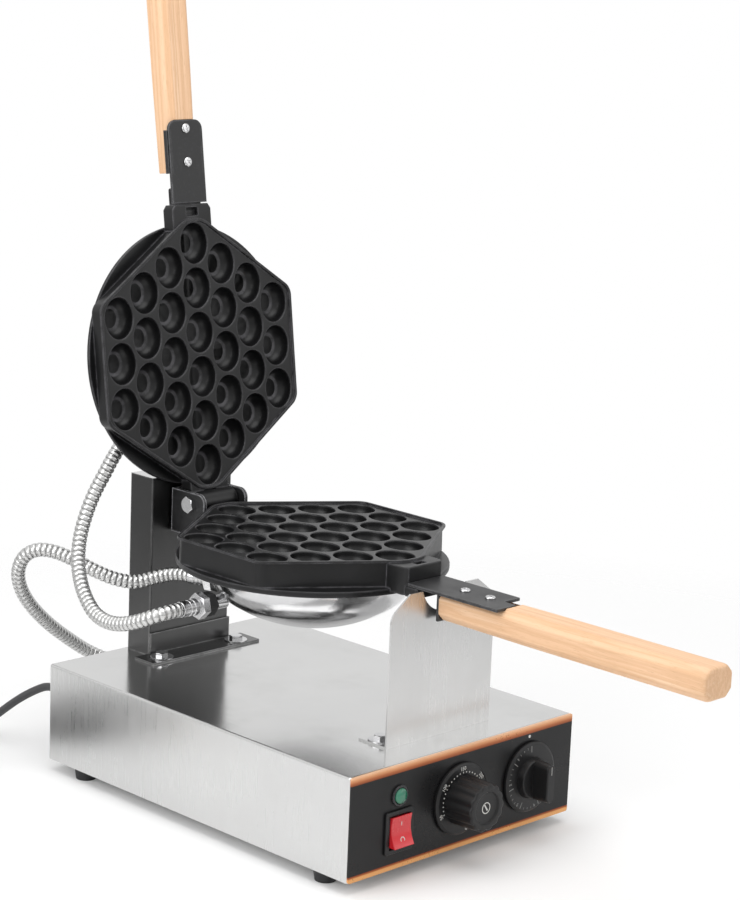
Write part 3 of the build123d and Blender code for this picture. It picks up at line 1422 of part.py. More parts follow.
coil_z = CORD_D / 2 + COIL_LIFT
coil_pitch = CORD_D + COIL_GAP
sleeve_tip = Vector(CORD_X, REAR + GLAND_NUT_T + SLEEVE_L, CORD_Z)
coil_entry = Vector(COIL_X + CORD_D, COIL_Y + COIL_R, coil_z)
cord_route = [
    tuple(sleeve_tip),
    (-95, 221, 58),
    (-99, 233, 52),
    (-105, 246, 43),
    (-108.5, 260, 32),
    (-114, 274, 19),
    (-125, 287, 8.5),
    (-142, 297, 3.6),
    (-164, 302, 3.6),
    (-188, 299, 4.5),
    tuple(coil_entry),
]
cord_wire = route_line("power_cord", cord_route)
with BuildPart() as power_cord:
    with BuildSketch(Plane(origin=cord_wire.position_at(0), z_dir=cord_wire.tangent_at(0))):
        Circle(CORD_D / 2)
    sweep(path=cord_wire)
cord_parts["power_cord"] = power_cord


def coil_point(turns):
    """The centre of the cord after so many turns: in on one layer, up, and out on the next."""
    angle = math.radians(COIL_START + 360 * turns)
    climb = min(max((turns - COIL_IN) / COIL_CLIMB, 0), 1)
    inward = min(turns, COIL_IN + COIL_CLIMB / 2)
    outward = turns - inward
    radius = COIL_R - coil_pitch * (inward - outward)
    rise = climb * climb * (3 - 2 * climb)
    return Vector(
        COIL_X + radius * math.cos(angle),
        COIL_Y + radius * math.sin(angle),
        coil_z + coil_pitch * rise,
    )


def coil_tangent(turns):
    """The direction of the cord there; at both ends it is square to the radius."""
    angle = math.radians(COIL_START + 360 * turns)
    if turns in (0, coil_turns):
        return Vector(-math.sin(angle), math.cos(angle), 0)
    step = 1e-4
    return (coil_point(turns + step) - coil_point(turns - step)).normalized()


def biarc(start, start_dir, end, end_dir):
    """Two arcs that leave one point and reach the next in the given directions."""
    gap = end - start
    across = start_dir + end_dir
    a = 2 * (1 - start_dir.dot(end_dir))
    b = 2 * gap.dot(across)
    reach = (-b + math.sqrt(b * b + 4 * a * gap.dot(gap))) / (2 * a)
    middle = (start + end + (start_dir - end_dir) * reach) / 2
    TangentArc(start, middle, tangent=start_dir)
    middle_dir = (middle - start - start_dir * reach).normalized()
    TangentArc(middle, end, tangent=middle_dir)


coil_turns = COIL_IN + COIL_CLIMB + COIL_OUT
quarters = round(coil_turns * 4)
marks = [quarter / 4 for quarter in range(quarters + 1)]
with BuildLine() as coil_line:
    Line(coil_entry, coil_point(0))
    for before, after in zip(marks, marks[1:]):
        biarc(coil_point(before), coil_tangent(before), coil_point(after), coil_tangent(after))
    coil_end = coil_point(coil_turns) + coil_tangent(coil_turns) * COIL_END_RUN
    Line(coil_point(coil_turns), coil_end)
coil_wire = coil_line.wire()
with BuildPart() as cord_coil:
    with BuildSketch(Plane(origin=coil_wire.position_at(0), z_dir=coil_wire.tangent_at(0))):
        Circle(CORD_D / 2)
    sweep(path=coil_wire)
cord_parts["cord_coil"] = cord_coil

samples = [coil_point(coil_turns * step / COIL_SAMPLES) for step in range(COIL_SAMPLES + 1)]
apart = round(COIL_SAMPLES / coil_turns / 2)
least = min(
    (samples[i] - samples[j]).length - CORD_D
    for i in range(COIL_SAMPLES + 1)
    for j in range(i + apart, COIL_SAMPLES + 1)
)
print("coil: turns", coil_turns, "length", round(coil_wire.length), "least gap", round(least, 2))
section = math.pi * (CORD_D / 2) ** 2
for lead_name, lead_wire in (("power_cord", cord_wire), ("cord_coil", coil_wire)):
    volume = cord_parts[lead_name].part.volume
    print(lead_name, "volume", round(volume), "section x length", round(section * lead_wire.length))

tie_in = COIL_R - coil_pitch * COIL_IN - CORD_D / 2 - TIE_IN_GAP
tie_out = COIL_R + coil_pitch * (COIL_OUT - COIL_IN) + CORD_D / 2
tie_low = coil_z - CORD_D / 2 - TIE_GAP
tie_high = coil_z + coil_pitch + CORD_D / 2 + TIE_GAP
with BuildPart() as cord_tie:
    with BuildSketch(Plane(origin=(COIL_X, COIL_Y, 0), x_dir=(1, 0, 0), z_dir=(0, -1, 0))):
        with Locations(((tie_in + tie_out) / 2, (tie_low + tie_high) / 2)):
            RectangleRounded(
                tie_out - tie_in + 2 * TIE_T, tie_high - tie_low + 2 * TIE_T, TIE_ROUND
            )
            RectangleRounded(
                tie_out - tie_in, tie_high - tie_low, TIE_ROUND - TIE_T, mode=Mode.SUBTRACT
            )
    extrude(amount=TIE_W / 2, both=True)
cord_parts["cord_tie"] = cord_tie

plug_face = Plane(origin=coil_end, x_dir=(1, 0, 0), z_dir=coil_tangent(coil_turns))
with BuildPart() as plug:
    with BuildSketch(plug_face):
        Circle(CORD_D / 2 + PLUG_NECK_FLARE / 2)
    with BuildSketch(shifted(plug_face, z=PLUG_NECK)):
        Circle(CORD_D / 2 + 1.5 * PLUG_NECK_FLARE)
    loft(ruled=True)
    with BuildSketch(shifted(plug_face, z=PLUG_NECK)):
        RectangleRounded(PLUG_W * PLUG_WAIST, PLUG_T * PLUG_WAIST, PLUG_CORNER)
    with BuildSketch(shifted(plug_face, z=PLUG_NECK + PLUG_L / 2)):
        RectangleRounded(PLUG_W, PLUG_T, PLUG_CORNER)
    loft(ruled=True)
    with BuildSketch(shifted(plug_face, z=PLUG_NECK + PLUG_L / 2)):
        RectangleRounded(PLUG_W, PLUG_T, PLUG_CORNER)
    extrude(amount=PLUG_L / 2)
cord_parts["plug"] = plug

with BuildPart() as plug_blades:
    with BuildSketch(shifted(plug_face, z=PLUG_NECK + PLUG_L)):
        with Locations((-BLADE_X, BLADE_UP), (BLADE_X, BLADE_UP)):
            Rectangle(BLADE_W, BLADE_H)
    extrude(amount=BLADE_L)
    with BuildSketch(shifted(plug_face, z=PLUG_NECK + PLUG_L)):
        with Locations((0, -EARTH_DOWN)):
            Circle(EARTH_R)
    extrude(amount=EARTH_L)
cord_parts["plug_blades"] = plug_blades

# The origin is the middle of the object's box, lead apart, at the level of its feet
boxes = [piece.part.bounding_box() for piece in sub_parts.values()]
low = Vector(*(min(values) for values in zip(*(tuple(box.min) for box in boxes))))
high = Vector(*(max(values) for values in zip(*(tuple(box.max) for box in boxes))))
shift = Vector(-(low.X + high.X) / 2, -(low.Y + high.Y) / 2, -low.Z)
print("size without the lead", high - low, "shift", shift)

os.makedirs("parts", exist_ok=True)
for part_name, piece in {**sub_parts, **cord_parts}.items():
    solid = piece.part.moved(Location(shift))
    solid.label = part_name
    export_step(solid, f"parts/{part_name}.step")
print(len(sub_parts) + len(cord_parts), "sub-parts written")
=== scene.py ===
# %% [markdown]
# # A turning waffle maker, from its measured frame to a finished picture
# The machine is a sheet steel box with its controls in front, a column behind, and two cast
# moulds that hinge open and turn over together. Its working parts are already a measured CAD
# model. Here each surface that the eye meets gets its real form and finish, in the CAD's own place.

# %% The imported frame
import json
import math

import bmesh
import bpy
from mathutils import Matrix, Vector


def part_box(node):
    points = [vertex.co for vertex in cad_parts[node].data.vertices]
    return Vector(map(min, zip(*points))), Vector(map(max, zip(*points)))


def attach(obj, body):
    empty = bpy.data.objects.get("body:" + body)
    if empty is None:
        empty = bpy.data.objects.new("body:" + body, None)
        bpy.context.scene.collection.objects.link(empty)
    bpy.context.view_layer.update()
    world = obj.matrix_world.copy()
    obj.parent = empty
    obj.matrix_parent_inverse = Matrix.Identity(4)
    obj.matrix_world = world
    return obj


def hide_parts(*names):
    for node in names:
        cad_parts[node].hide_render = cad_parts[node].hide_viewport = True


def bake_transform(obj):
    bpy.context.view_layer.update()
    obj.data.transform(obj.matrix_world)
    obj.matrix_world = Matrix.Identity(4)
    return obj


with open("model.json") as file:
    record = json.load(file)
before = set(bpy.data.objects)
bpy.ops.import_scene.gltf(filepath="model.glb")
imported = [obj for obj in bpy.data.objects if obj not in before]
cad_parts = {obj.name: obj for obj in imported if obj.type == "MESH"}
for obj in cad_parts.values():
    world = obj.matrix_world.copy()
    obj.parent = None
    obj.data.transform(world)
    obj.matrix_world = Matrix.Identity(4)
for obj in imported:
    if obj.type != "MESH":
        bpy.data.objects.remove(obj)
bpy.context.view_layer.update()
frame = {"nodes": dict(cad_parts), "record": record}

# %% [markdown]
# ## Places in millimetres
# A drawing of this machine is in millimetres from the middle of its base. Blender's own unit is
# the metre, so one function turns a point of the drawing into a place in the frame, and another
# makes a small workbench there: its x goes to the right, its z comes out of the surface, and
# what is built on it is in millimetres. That keeps every number readable as a caliper's.

# %% From the drawing to the frame
MM = 0.001
HALF_DEPTH = 181
cover_low, cover_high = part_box("base_cover")
middle = Vector(((cover_low.x + cover_high.x) / 2, cover_high.y - HALF_DEPTH * MM, 0))


def at(x, y, z):
    """A point of the drawing, in the frame's metres."""
    return middle + Vector((x, y, z)) * MM


def bench(origin, right, out):
    """A workbench at a place: its own x goes right, its z comes out, and it is in millimetres."""
    right, out = Vector(right).normalized(), Vector(out).normalized()
    turn = Matrix((right, out.cross(right), out)).transposed().to_4x4()
    return Matrix.Translation(origin) @ turn @ Matrix.Scale(MM, 4)


def moved(place, x=0.0, y=0.0, z=0.0, turn=0.0):
    """A workbench beside another one, in its own millimetres, turned in degrees."""
    return place @ Matrix.Translation((x, y, z)) @ Matrix.Rotation(math.radians(turn), 4, "Z")


def polar(radius, degrees):
    """How far across and up a point on a circle lies from the circle's middle."""
    turn = math.radians(degrees)
    return radius * math.cos(turn), radius * math.sin(turn)


def linked(name, data):
    """An object that holds this data, in the scene."""
    thing = bpy.data.objects.new(name, data)
    bpy.context.scene.collection.objects.link(thing)
    return thing


print("middle of the base at", [round(value, 4) for value in middle])

# %% [markdown]
# ## The camera
# A product photographer stands at the corner, a little above the table, with a long lens, so
# that the upright edges stay nearly parallel. The place and the lens were worked out from the
# straight edges of the box in the photograph. A camera looks down its own -z, so its matrix is
# built from the three directions right, up and back.

# %% Camera
yaw, pitch, roll = 0.79179586, 0.21156862, 0.04048131
camera_place = (-1.3547, -1.3293, 0.7171)
forward = Vector(
    (math.sin(yaw) * math.cos(pitch), math.cos(yaw) * math.cos(pitch), -math.sin(pitch))
)
level_right = Vector((math.cos(yaw), -math.sin(yaw), 0))
level_up = level_right.cross(forward)
camera_right = math.cos(roll) * level_right + math.sin(roll) * level_up
camera_up = math.cos(roll) * level_up - math.sin(roll) * level_right

camera = linked("camera", bpy.data.cameras.new("camera"))
camera.data.lens = 99.61
camera.data.sensor_width = 36.0
camera.data.clip_start = 0.05
camera.matrix_world = Matrix.Translation(camera_place) @ (
    Matrix((camera_right, camera_up, -forward)).transposed().to_4x4()
)
bpy.context.scene.camera = camera
bpy.context.scene.view_settings.view_transform = "Standard"
print("camera", round((camera.location - middle).length, 3), "m from the middle of the base")

# %% [markdown]
# ## The mains lead
# A 7 mm lead leaves its rubber sleeve at the back, falls to the table and runs to a tied coil
# beside the machine. A curve is the right thing for it: a NURBS spline stays smooth between
# its points, and its bevel gives the round sheath. The coil's turns are more points of the same
# spline: in on the table, a short climb, and out again on top of the first layer.

# %% Lead and coil on one spline
LEAD_D, LEAD_EXIT, COIL_TAIL = 7.0, (-95, 212, 58), 18
COIL_X, COIL_Y, COIL_Z, COIL_R, COIL_PITCH = -222.0, 252.0, 4.5, 47.0, 7.5
TURNS_IN, TURNS_UP, TURNS_OUT, STEPS_IN_TURN = 2.25, 0.5, 2.5, 24
lead_route = [
    LEAD_EXIT, (-95, 221, 58), (-99, 233, 52), (-105, 246, 43), (-108.5, 260, 32),
    (-114, 274, 19), (-125, 287, 8.5), (-142, 297, 3.6), (-164, 302, 3.6), (-188, 299, 4.5),
    (-215, 299, 4.5),
]


def coil_point(turns):
    """The middle of the lead after so many turns of the coil."""
    climb = min(max((turns - TURNS_IN) / TURNS_UP, 0), 1)
    inward = min(turns, TURNS_IN + TURNS_UP / 2)
    x, y = polar(COIL_R - COIL_PITCH * (2 * inward - turns), 90 + 360 * turns)
    return COIL_X + x, COIL_Y + y, COIL_Z + COIL_PITCH * climb * climb * (3 - 2 * climb)


coil_steps = round((TURNS_IN + TURNS_UP + TURNS_OUT) * STEPS_IN_TURN)
lead_route += [coil_point(step / STEPS_IN_TURN) for step in range(coil_steps + 1)]
coil_end = Vector(lead_route[-1]) + Vector((0, -COIL_TAIL, 0))
lead_route.append(tuple(coil_end))


def smooth_curve(name, route, resolution):
    """A curve object whose NURBS spline is drawn by these points of the drawing."""
    data = bpy.data.curves.new(name, "CURVE")
    data.dimensions = "3D"
    data.resolution_u = resolution
    spline = data.splines.new("NURBS")
    spline.points.add(len(route) - 1)
    for point, place in zip(spline.points, route):
        point.co = (*at(*place), 1)
        point.radius = LEAD_D / 2 * MM
    spline.order_u = 3
    spline.use_endpoint_u = True
    return linked(name, data)


mains_lead = smooth_curve("mains_lead", lead_route, 4)
mains_lead.data.bevel_depth = 1.0
mains_lead.data.bevel_resolution = 4
mains_lead.data.use_fill_caps = True
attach(mains_lead, "base")
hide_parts("power_cord", "cord_coil")
print("lead drawn by", len(lead_route), "points")

# %% [markdown]
# ## Small ways to make a shape
# Nearly every piece of a machine is turned, cut from plate, raised from a section or has six
# sides, so a few helpers are enough. Most of them grow a shape ring by ring: a loop of edges is
# extruded in place, and the new ring is moved to where the next section is. They are built in
# millimetres at the origin, and set down on a workbench when they are done.

# %% Helpers for shapes
def verts_of(result):
    """The vertices among what a bmesh operator made."""
    return [item for item in result["geom"] if isinstance(item, bmesh.types.BMVert)]


def edges_of(result, key="geom"):
    """The edges among what a bmesh operator made."""
    return [item for item in result[key] if isinstance(item, bmesh.types.BMEdge)]


def grow(bm, edges):
    """Extrude a loop of edges in place; gives the new ring's edges and its vertices."""
    grown = bmesh.ops.extrude_edge_only(bm, edges=edges)
    return edges_of(grown), verts_of(grown)


def closed(bm, edges=None):
    """The shape with its open loop closed, if there is one, and every face looking outwards."""
    if edges:
        bmesh.ops.edgeloop_fill(bm, edges=edges)
    bmesh.ops.recalc_face_normals(bm, faces=bm.faces)
    return bm


def soften(bm, places, width, steps=3, affect="EDGES"):
    """Round some edges, or the corners of a flat outline."""
    bmesh.ops.bevel(
        bm, geom=places, offset=width, offset_type="OFFSET", affect=affect, segments=steps,
        profile=0.5, material=-1, clamp_overlap=affect == "EDGES",
    )


def turned(profile, steps=48):
    """A turned piece: an outline of radius and height, spun round. A ring's outline comes back
    to its first point."""
    bm = bmesh.new()
    points = [bm.verts.new((radius, 0, height)) for radius, height in profile]
    edges = [bm.edges.new(pair) for pair in zip(points, points[1:])]
    bmesh.ops.spin(
        bm, geom=points + edges, cent=(0, 0, 0), axis=(0, 0, 1), angle=2 * math.pi,
        steps=steps, use_merge=True,
    )
    bmesh.ops.remove_doubles(bm, verts=bm.verts, dist=1e-4)
    return closed(bm)


def turned_ring(profile, steps=48):
    """A turned piece that is open in the middle."""
    return turned(profile + profile[:1], steps)


def climb_of(edge):
    """The height between an edge's two ends."""
    return abs(edge.verts[0].co.z - edge.verts[1].co.z)


def slab(outline, low, high, corner=0.0, edge=0.0, steps=3):
    """A plate cut to an outline, with rounded corners and rims."""
    bm = bmesh.new()
    face = bm.faces.new([bm.verts.new((x, y, low)) for x, y in outline])
    lifted = bmesh.ops.extrude_face_region(bm, geom=[face])
    bmesh.ops.translate(bm, verts=verts_of(lifted), vec=(0, 0, high - low))
    closed(bm)
    upright = [e for e in bm.edges if climb_of(e) > 1e-6]
    if corner:
        soften(bm, upright, corner, steps + 2)
    if edge:
        soften(bm, [e for e in bm.edges if climb_of(e) < 1e-6], edge, steps)
    return bm


def raised(outline, stages, corner=0.0, steps=4):
    """A section raised in stages of height and of size along x and y."""
    bm = bmesh.new()
    corners = [bm.verts.new((x, y, 0)) for x, y in outline]
    bm.faces.new(corners)
    if corner:
        soften(bm, corners, corner, steps, "VERTICES")
    edges, ring, size_x, size_y = bm.edges[:], bm.verts[:], 1.0, 1.0
    for count, (height, next_x, next_y) in enumerate(stages):
        if count:
            edges, ring = grow(bm, edges)
        for vertex in ring:
            vertex.co = (vertex.co.x * next_x / size_x, vertex.co.y * next_y / size_y, height)
        size_x, size_y = next_x, next_y
    return closed(bm, edges)


def box_outline(half_x, half_y, x=0.0, y=0.0):
    """The four corners of a rectangle round a point."""
    return [
        (x - half_x, y - half_y), (x + half_x, y - half_y), (x + half_x, y + half_y),
        (x - half_x, y + half_y),
    ]


def sink(bm, outline, depth, draft=1.0, floor=True):
    """Press a hollow of some outline into the top face, its walls drawn in by the draft."""
    face = max(
        (face for face in bm.faces if face.normal.z > 0.9),
        key=lambda face: (round(face.calc_center_median().z, 4), face.calc_area()),
    )
    height, rim = face.verts[0].co.z, list(face.edges)
    bmesh.ops.delete(bm, geom=[face], context="FACES_ONLY")
    points = [bm.verts.new((x, y, height)) for x, y in outline]
    mouth = [bm.edges.new(pair) for pair in zip(points, points[1:] + points[:1])]
    bmesh.ops.triangle_fill(bm, edges=rim + mouth, use_beauty=True, normal=(0, 0, 1))
    low_edges, low_ring = grow(bm, mouth)
    centre = sum((vertex.co for vertex in low_ring), Vector()) / len(low_ring)
    bmesh.ops.scale(
        bm, verts=low_ring, vec=(draft, draft, 1), space=Matrix.Translation(-centre)
    )
    bmesh.ops.translate(bm, verts=low_ring, vec=(0, 0, -depth))
    closed(bm, low_edges if floor else None)
    return low_edges


def six_sided(circumradius):
    """The corners of a hexagon."""
    return [polar(circumradius, 60 * corner) for corner in range(6)]


def hexagon_bar(flats, low, high, cone=0.94):
    """A nut or a bolt's head: six sides, with the corners cut to a cone at the top."""
    bm = bmesh.new()
    bmesh.ops.create_circle(bm, segments=6, radius=flats / math.sqrt(3))
    bmesh.ops.subdivide_edges(bm, edges=bm.edges, cuts=5)
    bmesh.ops.edgeloop_fill(bm, edges=bm.edges)
    bmesh.ops.translate(bm, verts=bm.verts, vec=(0, 0, low))
    edges, ring = grow(bm, bm.edges[:])
    flat_r = flats / 2 * cone
    for vertex in ring:
        vertex.co.z = high - max(0, vertex.co.xy.length - flat_r) * math.tan(math.radians(30))
    edges, ring = grow(bm, edges)
    for vertex in ring:
        vertex.co.xy *= flat_r / vertex.co.xy.length
        vertex.co.z = high
    return closed(bm, edges)


def set_down(place, *shapes):
    """Shapes that were built at the origin, put onto their workbench."""
    for shape in shapes:
        bmesh.ops.transform(shape, verts=shape.verts, matrix=place)
    return list(shapes)


print("helpers for turned, cut, raised, pressed and six sided shapes are ready")

# %% [markdown]
# ## From shapes to pieces
# A piece of the model is one mesh object: its shapes joined, smooth where it curves and sharp
# where it is cut. It says on which body of the machine it rides and from which finish of the record
# it takes its colour, and the CAD nodes it stands for are hidden. Its object stays at the origin,
# so that a pattern on Object coordinates keeps its place. Finishes come later and are given by
# slot, so a list keeps what was made.

# %% Joining shapes
made = []


def pour(shape, whole):
    """Move all of a shape into another one."""
    carried = bpy.data.meshes.new("carried")
    shape.to_mesh(carried)
    shape.free()
    whole.from_mesh(carried)
    bpy.data.meshes.remove(carried)


def piece(name, shapes, body, slot, *stands_for, crease=38):
    """One finished mesh of several shapes, riding on a body."""
    whole = bmesh.new()
    for shape in shapes:
        pour(shape, whole)
    mesh = bpy.data.meshes.new(name)
    whole.to_mesh(mesh)
    whole.free()
    mesh.shade_smooth()
    mesh.set_sharp_from_angle(angle=math.radians(crease))
    made_piece = linked(name, mesh)
    made_piece.modifiers.new("even_normals", "WEIGHTED_NORMAL").keep_sharp = True
    if body:
        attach(made_piece, body)
    if stands_for:
        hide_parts(*stands_for)
    made.append((made_piece, slot))
    return made_piece


print("a piece is joined, smoothed, put on its body and listed")

# %% [markdown]
# ## The two heater conduits
# Ribbed steel hose carries the wires to the heaters: one from the lower bowl up to the lid's,
# one from the lower bowl down into the back of the box. Such hose is a wound metal strip, so it
# shows a rib every 4 to 5 mm. The line is a NURBS spline again. Blender's curve bevel can't make
# ribs, so a circle is grown ring by ring along points read from that spline, wide on a crest
# and narrow in a groove. Each ring remembers how deep it is, so that the grooves can be coloured
# darker.

# %% The ribbed hose
HOSE_CREST, HOSE_ROOT, HOSE_RIB, RINGS_IN_RIB, CREST_FLAT = 6.0, 5.15, 4.6, 6, 1.35


def line_of(curve):
    """Points of a curve's own smooth line, in metres."""
    mesh = bpy.data.meshes.new_from_object(curve)
    points = [vertex.co.copy() for vertex in mesh.vertices]
    bpy.data.meshes.remove(mesh)
    return points


def evenly(points, step):
    """The same line, walked in equal steps; also its whole length."""
    length = sum((b - a).length for a, b in zip(points, points[1:]))
    count = round(length / step)
    stride, walked, along = length / count, 0.0, [points[0].copy()]
    for a, b in zip(points, points[1:]):
        run = (b - a).length
        while len(along) < count and walked + run >= stride * len(along) - 1e-12:
            along.append(a.lerp(b, (stride * len(along) - walked) / run))
        walked += run
    along.append(points[-1].copy())
    return along, length


def ribbed_hose(name, route):
    """A ribbed steel hose along a route, with the points of its middle line and its length."""
    curve = smooth_curve(name + "_line", route, 24)
    middle_line, length = evenly(line_of(curve), HOSE_RIB / RINGS_IN_RIB * MM)
    bpy.data.objects.remove(curve)
    bm = bmesh.new()
    groove = bm.verts.layers.float.new("groove")
    ring = bmesh.ops.create_circle(bm, segments=24, radius=1.0)["verts"]
    edges = bm.edges[:]
    seat, heading = Matrix.Identity(4), Vector((0, 0, 1))
    for count, place in enumerate(middle_line):
        ahead = middle_line[min(count + 1, len(middle_line) - 1)]
        behind = middle_line[max(count - 1, 0)]
        turn = heading.rotation_difference(ahead - behind)
        heading = (ahead - behind).normalized()
        share = count % RINGS_IN_RIB / RINGS_IN_RIB
        crest = min(1, CREST_FLAT * abs(math.sin(math.pi * share)))
        size = (HOSE_ROOT + (HOSE_CREST - HOSE_ROOT) * crest) * MM
        facing = turn.to_matrix().to_4x4() @ seat.to_quaternion().to_matrix().to_4x4()
        target = Matrix.Translation(place) @ facing @ Matrix.Scale(size, 4)
        if count:
            edges, ring = grow(bm, edges)
        bmesh.ops.transform(bm, verts=ring, matrix=target @ seat.inverted())
        for vertex in ring:
            vertex[groove] = 1 - crest
        seat = target
    bmesh.ops.holes_fill(bm, edges=bm.edges)
    print(name, "length", round(length, 4), "m in", len(middle_line), "rings")
    return closed(bm), middle_line, length


# %% [markdown]
# ## Where the conduits run
# Each conduit starts straight out of a fitting, hangs in an easy bow and goes straight into the
# next one. The points are those of the measured route. When the moulds turn or the lid closes,
# one end moves and the other stays; each hose here is fixed where it hangs and rides on no body.

# %% Both conduits
lid_hose_route = [
    (-112.9, 31, 172), (-124.9, 31, 172), (-134, 38, 168.5), (-139, 50, 162.5),
    (-141, 66, 157), (-141, 82, 154), (-140, 97, 154.5), (-138, 111, 158.5), (-133, 130, 171),
    (-125, 146, 188), (-115, 156, 207), (-105.5, 159.5, 225), (-97, 160, 241),
    (-88, 158.6, 255.5), (-79.55, 158.85, 267.78), (-71.06, 160.02, 276.18),
]
base_hose_route = [
    (-37.22, 106.14, 172), (-41.13, 117.49, 172), (-50, 131, 168), (-65, 142, 162),
    (-79, 152, 165), (-90, 165, 171), (-98, 181, 178), (-107, 197, 184), (-116, 211, 185),
    (-122, 223, 177), (-122, 231, 161), (-115, 235, 144), (-103, 238, 128), (-88, 240, 113),
    (-71, 243, 99), (-53, 246, 86), (-35, 246, 73), (-21, 239, 65), (-14, 226.3, 62),
    (-14, 214.3, 62),
]
for hose_name, route, still, stands_for in (
    ("lid_conduit", lid_hose_route, "lid", "conduit_lid"),
    ("base_conduit", base_hose_route, "base", "conduit_base"),
):
    hose_mesh, hose_line, hose_length = ribbed_hose(hose_name, route)
    hose = piece(hose_name, [hose_mesh], None, "conduit_steel", stands_for, crease=60)
    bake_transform(hose)

# %% [markdown]
# ## Tie and plug
# The coil is held by a flat strap, which the CAD already has, and ends in an ordinary plug. The
# plug is moulded rubber: a neck with ribs that bend, then a body waisted for the fingers. It is
# made as a rounded square that is raised section by section, wide, narrow and wide again.

# %% Plug
plug_bench = bench(at(*coil_end), (1, 0, 0), (0, -1, 0))
plug_body = raised(
    box_outline(10.5, 9.5),
    [
        (14, 0.60, 0.60), (15, 0.70, 0.70), (17, 0.76, 0.76), (22, 0.78, 0.80),
        (27, 0.86, 0.88), (32, 0.97, 0.97), (36, 1.0, 1.0), (46, 1.0, 1.0),
        (47.4, 0.97, 0.97), (48, 0.90, 0.90),
    ],
    corner=4.0,
)
neck_profile = [(0, -0.5), (4.2, -0.5)]
for rib in range(4):
    start, radius = 0.6 + 3.4 * rib, 4.5 + 0.45 * rib
    neck_profile += [
        (radius - 0.8, start), (radius, start + 0.4), (radius, start + 2.0),
        (radius - 0.8, start + 2.4),
    ]
neck_profile += [(6.4, 14.4), (0, 14.4)]
plug = piece(
    "mains_plug", set_down(plug_bench, plug_body, turned(neck_profile, 32)),
    "base", "cord_rubber", "plug",
)
print("plug at", [round(value, 3) for value in at(*coil_end)])

# %% [markdown]
# ## The cast waffle moulds
# Both moulds are cast plates with thirty egg-shaped cups, in columns of 3, 4, 5, 6, 5, 4 and 3.
# A cup has a soft lip and a steep wall that rounds into its floor, a little squarer than an
# egg. One cup is grown from an ellipse, ring by ring, then copied to its thirty places. The flat
# between the cups is filled in afterwards, so that it meets each lip and nothing overlaps.

# %% One cup, thirty places
COLUMN_COUNTS = (3, 4, 5, 6, 5, 4, 3)
CELL_X, CELL_V, SEMI_X, SEMI_V = 28.47, 37.3, 14.45, 17.0
CUP_DEPTH, LIP, ROUNDING, FLOOR_SHARE = 13.5, 0.9, 2.4, 0.12
cup_places = [
    ((column - 3) * CELL_X, (row - (count - 1) / 2) * CELL_V)
    for column, count in enumerate(COLUMN_COUNTS)
    for row in range(count)
]


def cup_stages():
    """The rings of a cup: how far each stands out from the mouth, its share, and its depth."""
    stages = []
    for turn in (0, 30, 60, 90):
        across, up = polar(LIP, turn)
        stages.append((LIP - up, 1.0, LIP - across))
    for step in range(1, 12):
        across, up = polar(1.0, 90 * step / 12)
        share, sunk = across ** (2 / ROUNDING), up ** (2 / ROUNDING)
        stages.append((0.0, share, LIP + (CUP_DEPTH - LIP) * sunk))
    return stages + [(0.0, FLOOR_SHARE, CUP_DEPTH)]


def cup():
    """One cup as an open shell whose outer ring lies in the face of the plate."""
    bm = bmesh.new()
    ring = bmesh.ops.create_circle(bm, segments=40, radius=1.0)["verts"]
    edges = bm.edges[:]
    turns = [math.atan2(vertex.co.y, vertex.co.x) for vertex in ring]
    for count, (out, share, depth) in enumerate(cup_stages()):
        if count:
            edges, ring = grow(bm, edges)
            turns = [math.atan2(vertex.co.y / SEMI_V, vertex.co.x / SEMI_X) for vertex in ring]
        for vertex, turn in zip(ring, turns):
            vertex.co = (
                (SEMI_X * share + out) * math.cos(turn), (SEMI_V * share + out) * math.sin(turn),
                -depth,
            )
    bmesh.ops.edgeloop_fill(bm, edges=edges)
    return bm


print("cups:", len(cup_places), "rings in each:", len(cup_stages()))

# %% [markdown]
# ## The plate around the cups
# The plate is a hexagon with soft corners and a low rim that keeps the batter in. Insetting the
# hexagon gives the rim its width, and raising those faces its height. The wall then goes down
# to a round flange, which is turned as a ring of its own with a soft edge.

# %% Plate, rim and flange
APEX_X, APEX_V, SIDE_X, SIDE_V = 9.7, 114.0, 105.5, 48.86
HEXAGON = [
    (-APEX_X, APEX_V), (-SIDE_X, SIDE_V), (-SIDE_X, -SIDE_V), (-APEX_X, -APEX_V),
    (APEX_X, -APEX_V), (SIDE_X, -SIDE_V), (SIDE_X, SIDE_V), (APEX_X, APEX_V),
]
CORNER, RIM_W, RIM_H, RIM_SOFT, WALL_DRAFT = 6.4, 2.5, 1.8, 0.7, 1.004


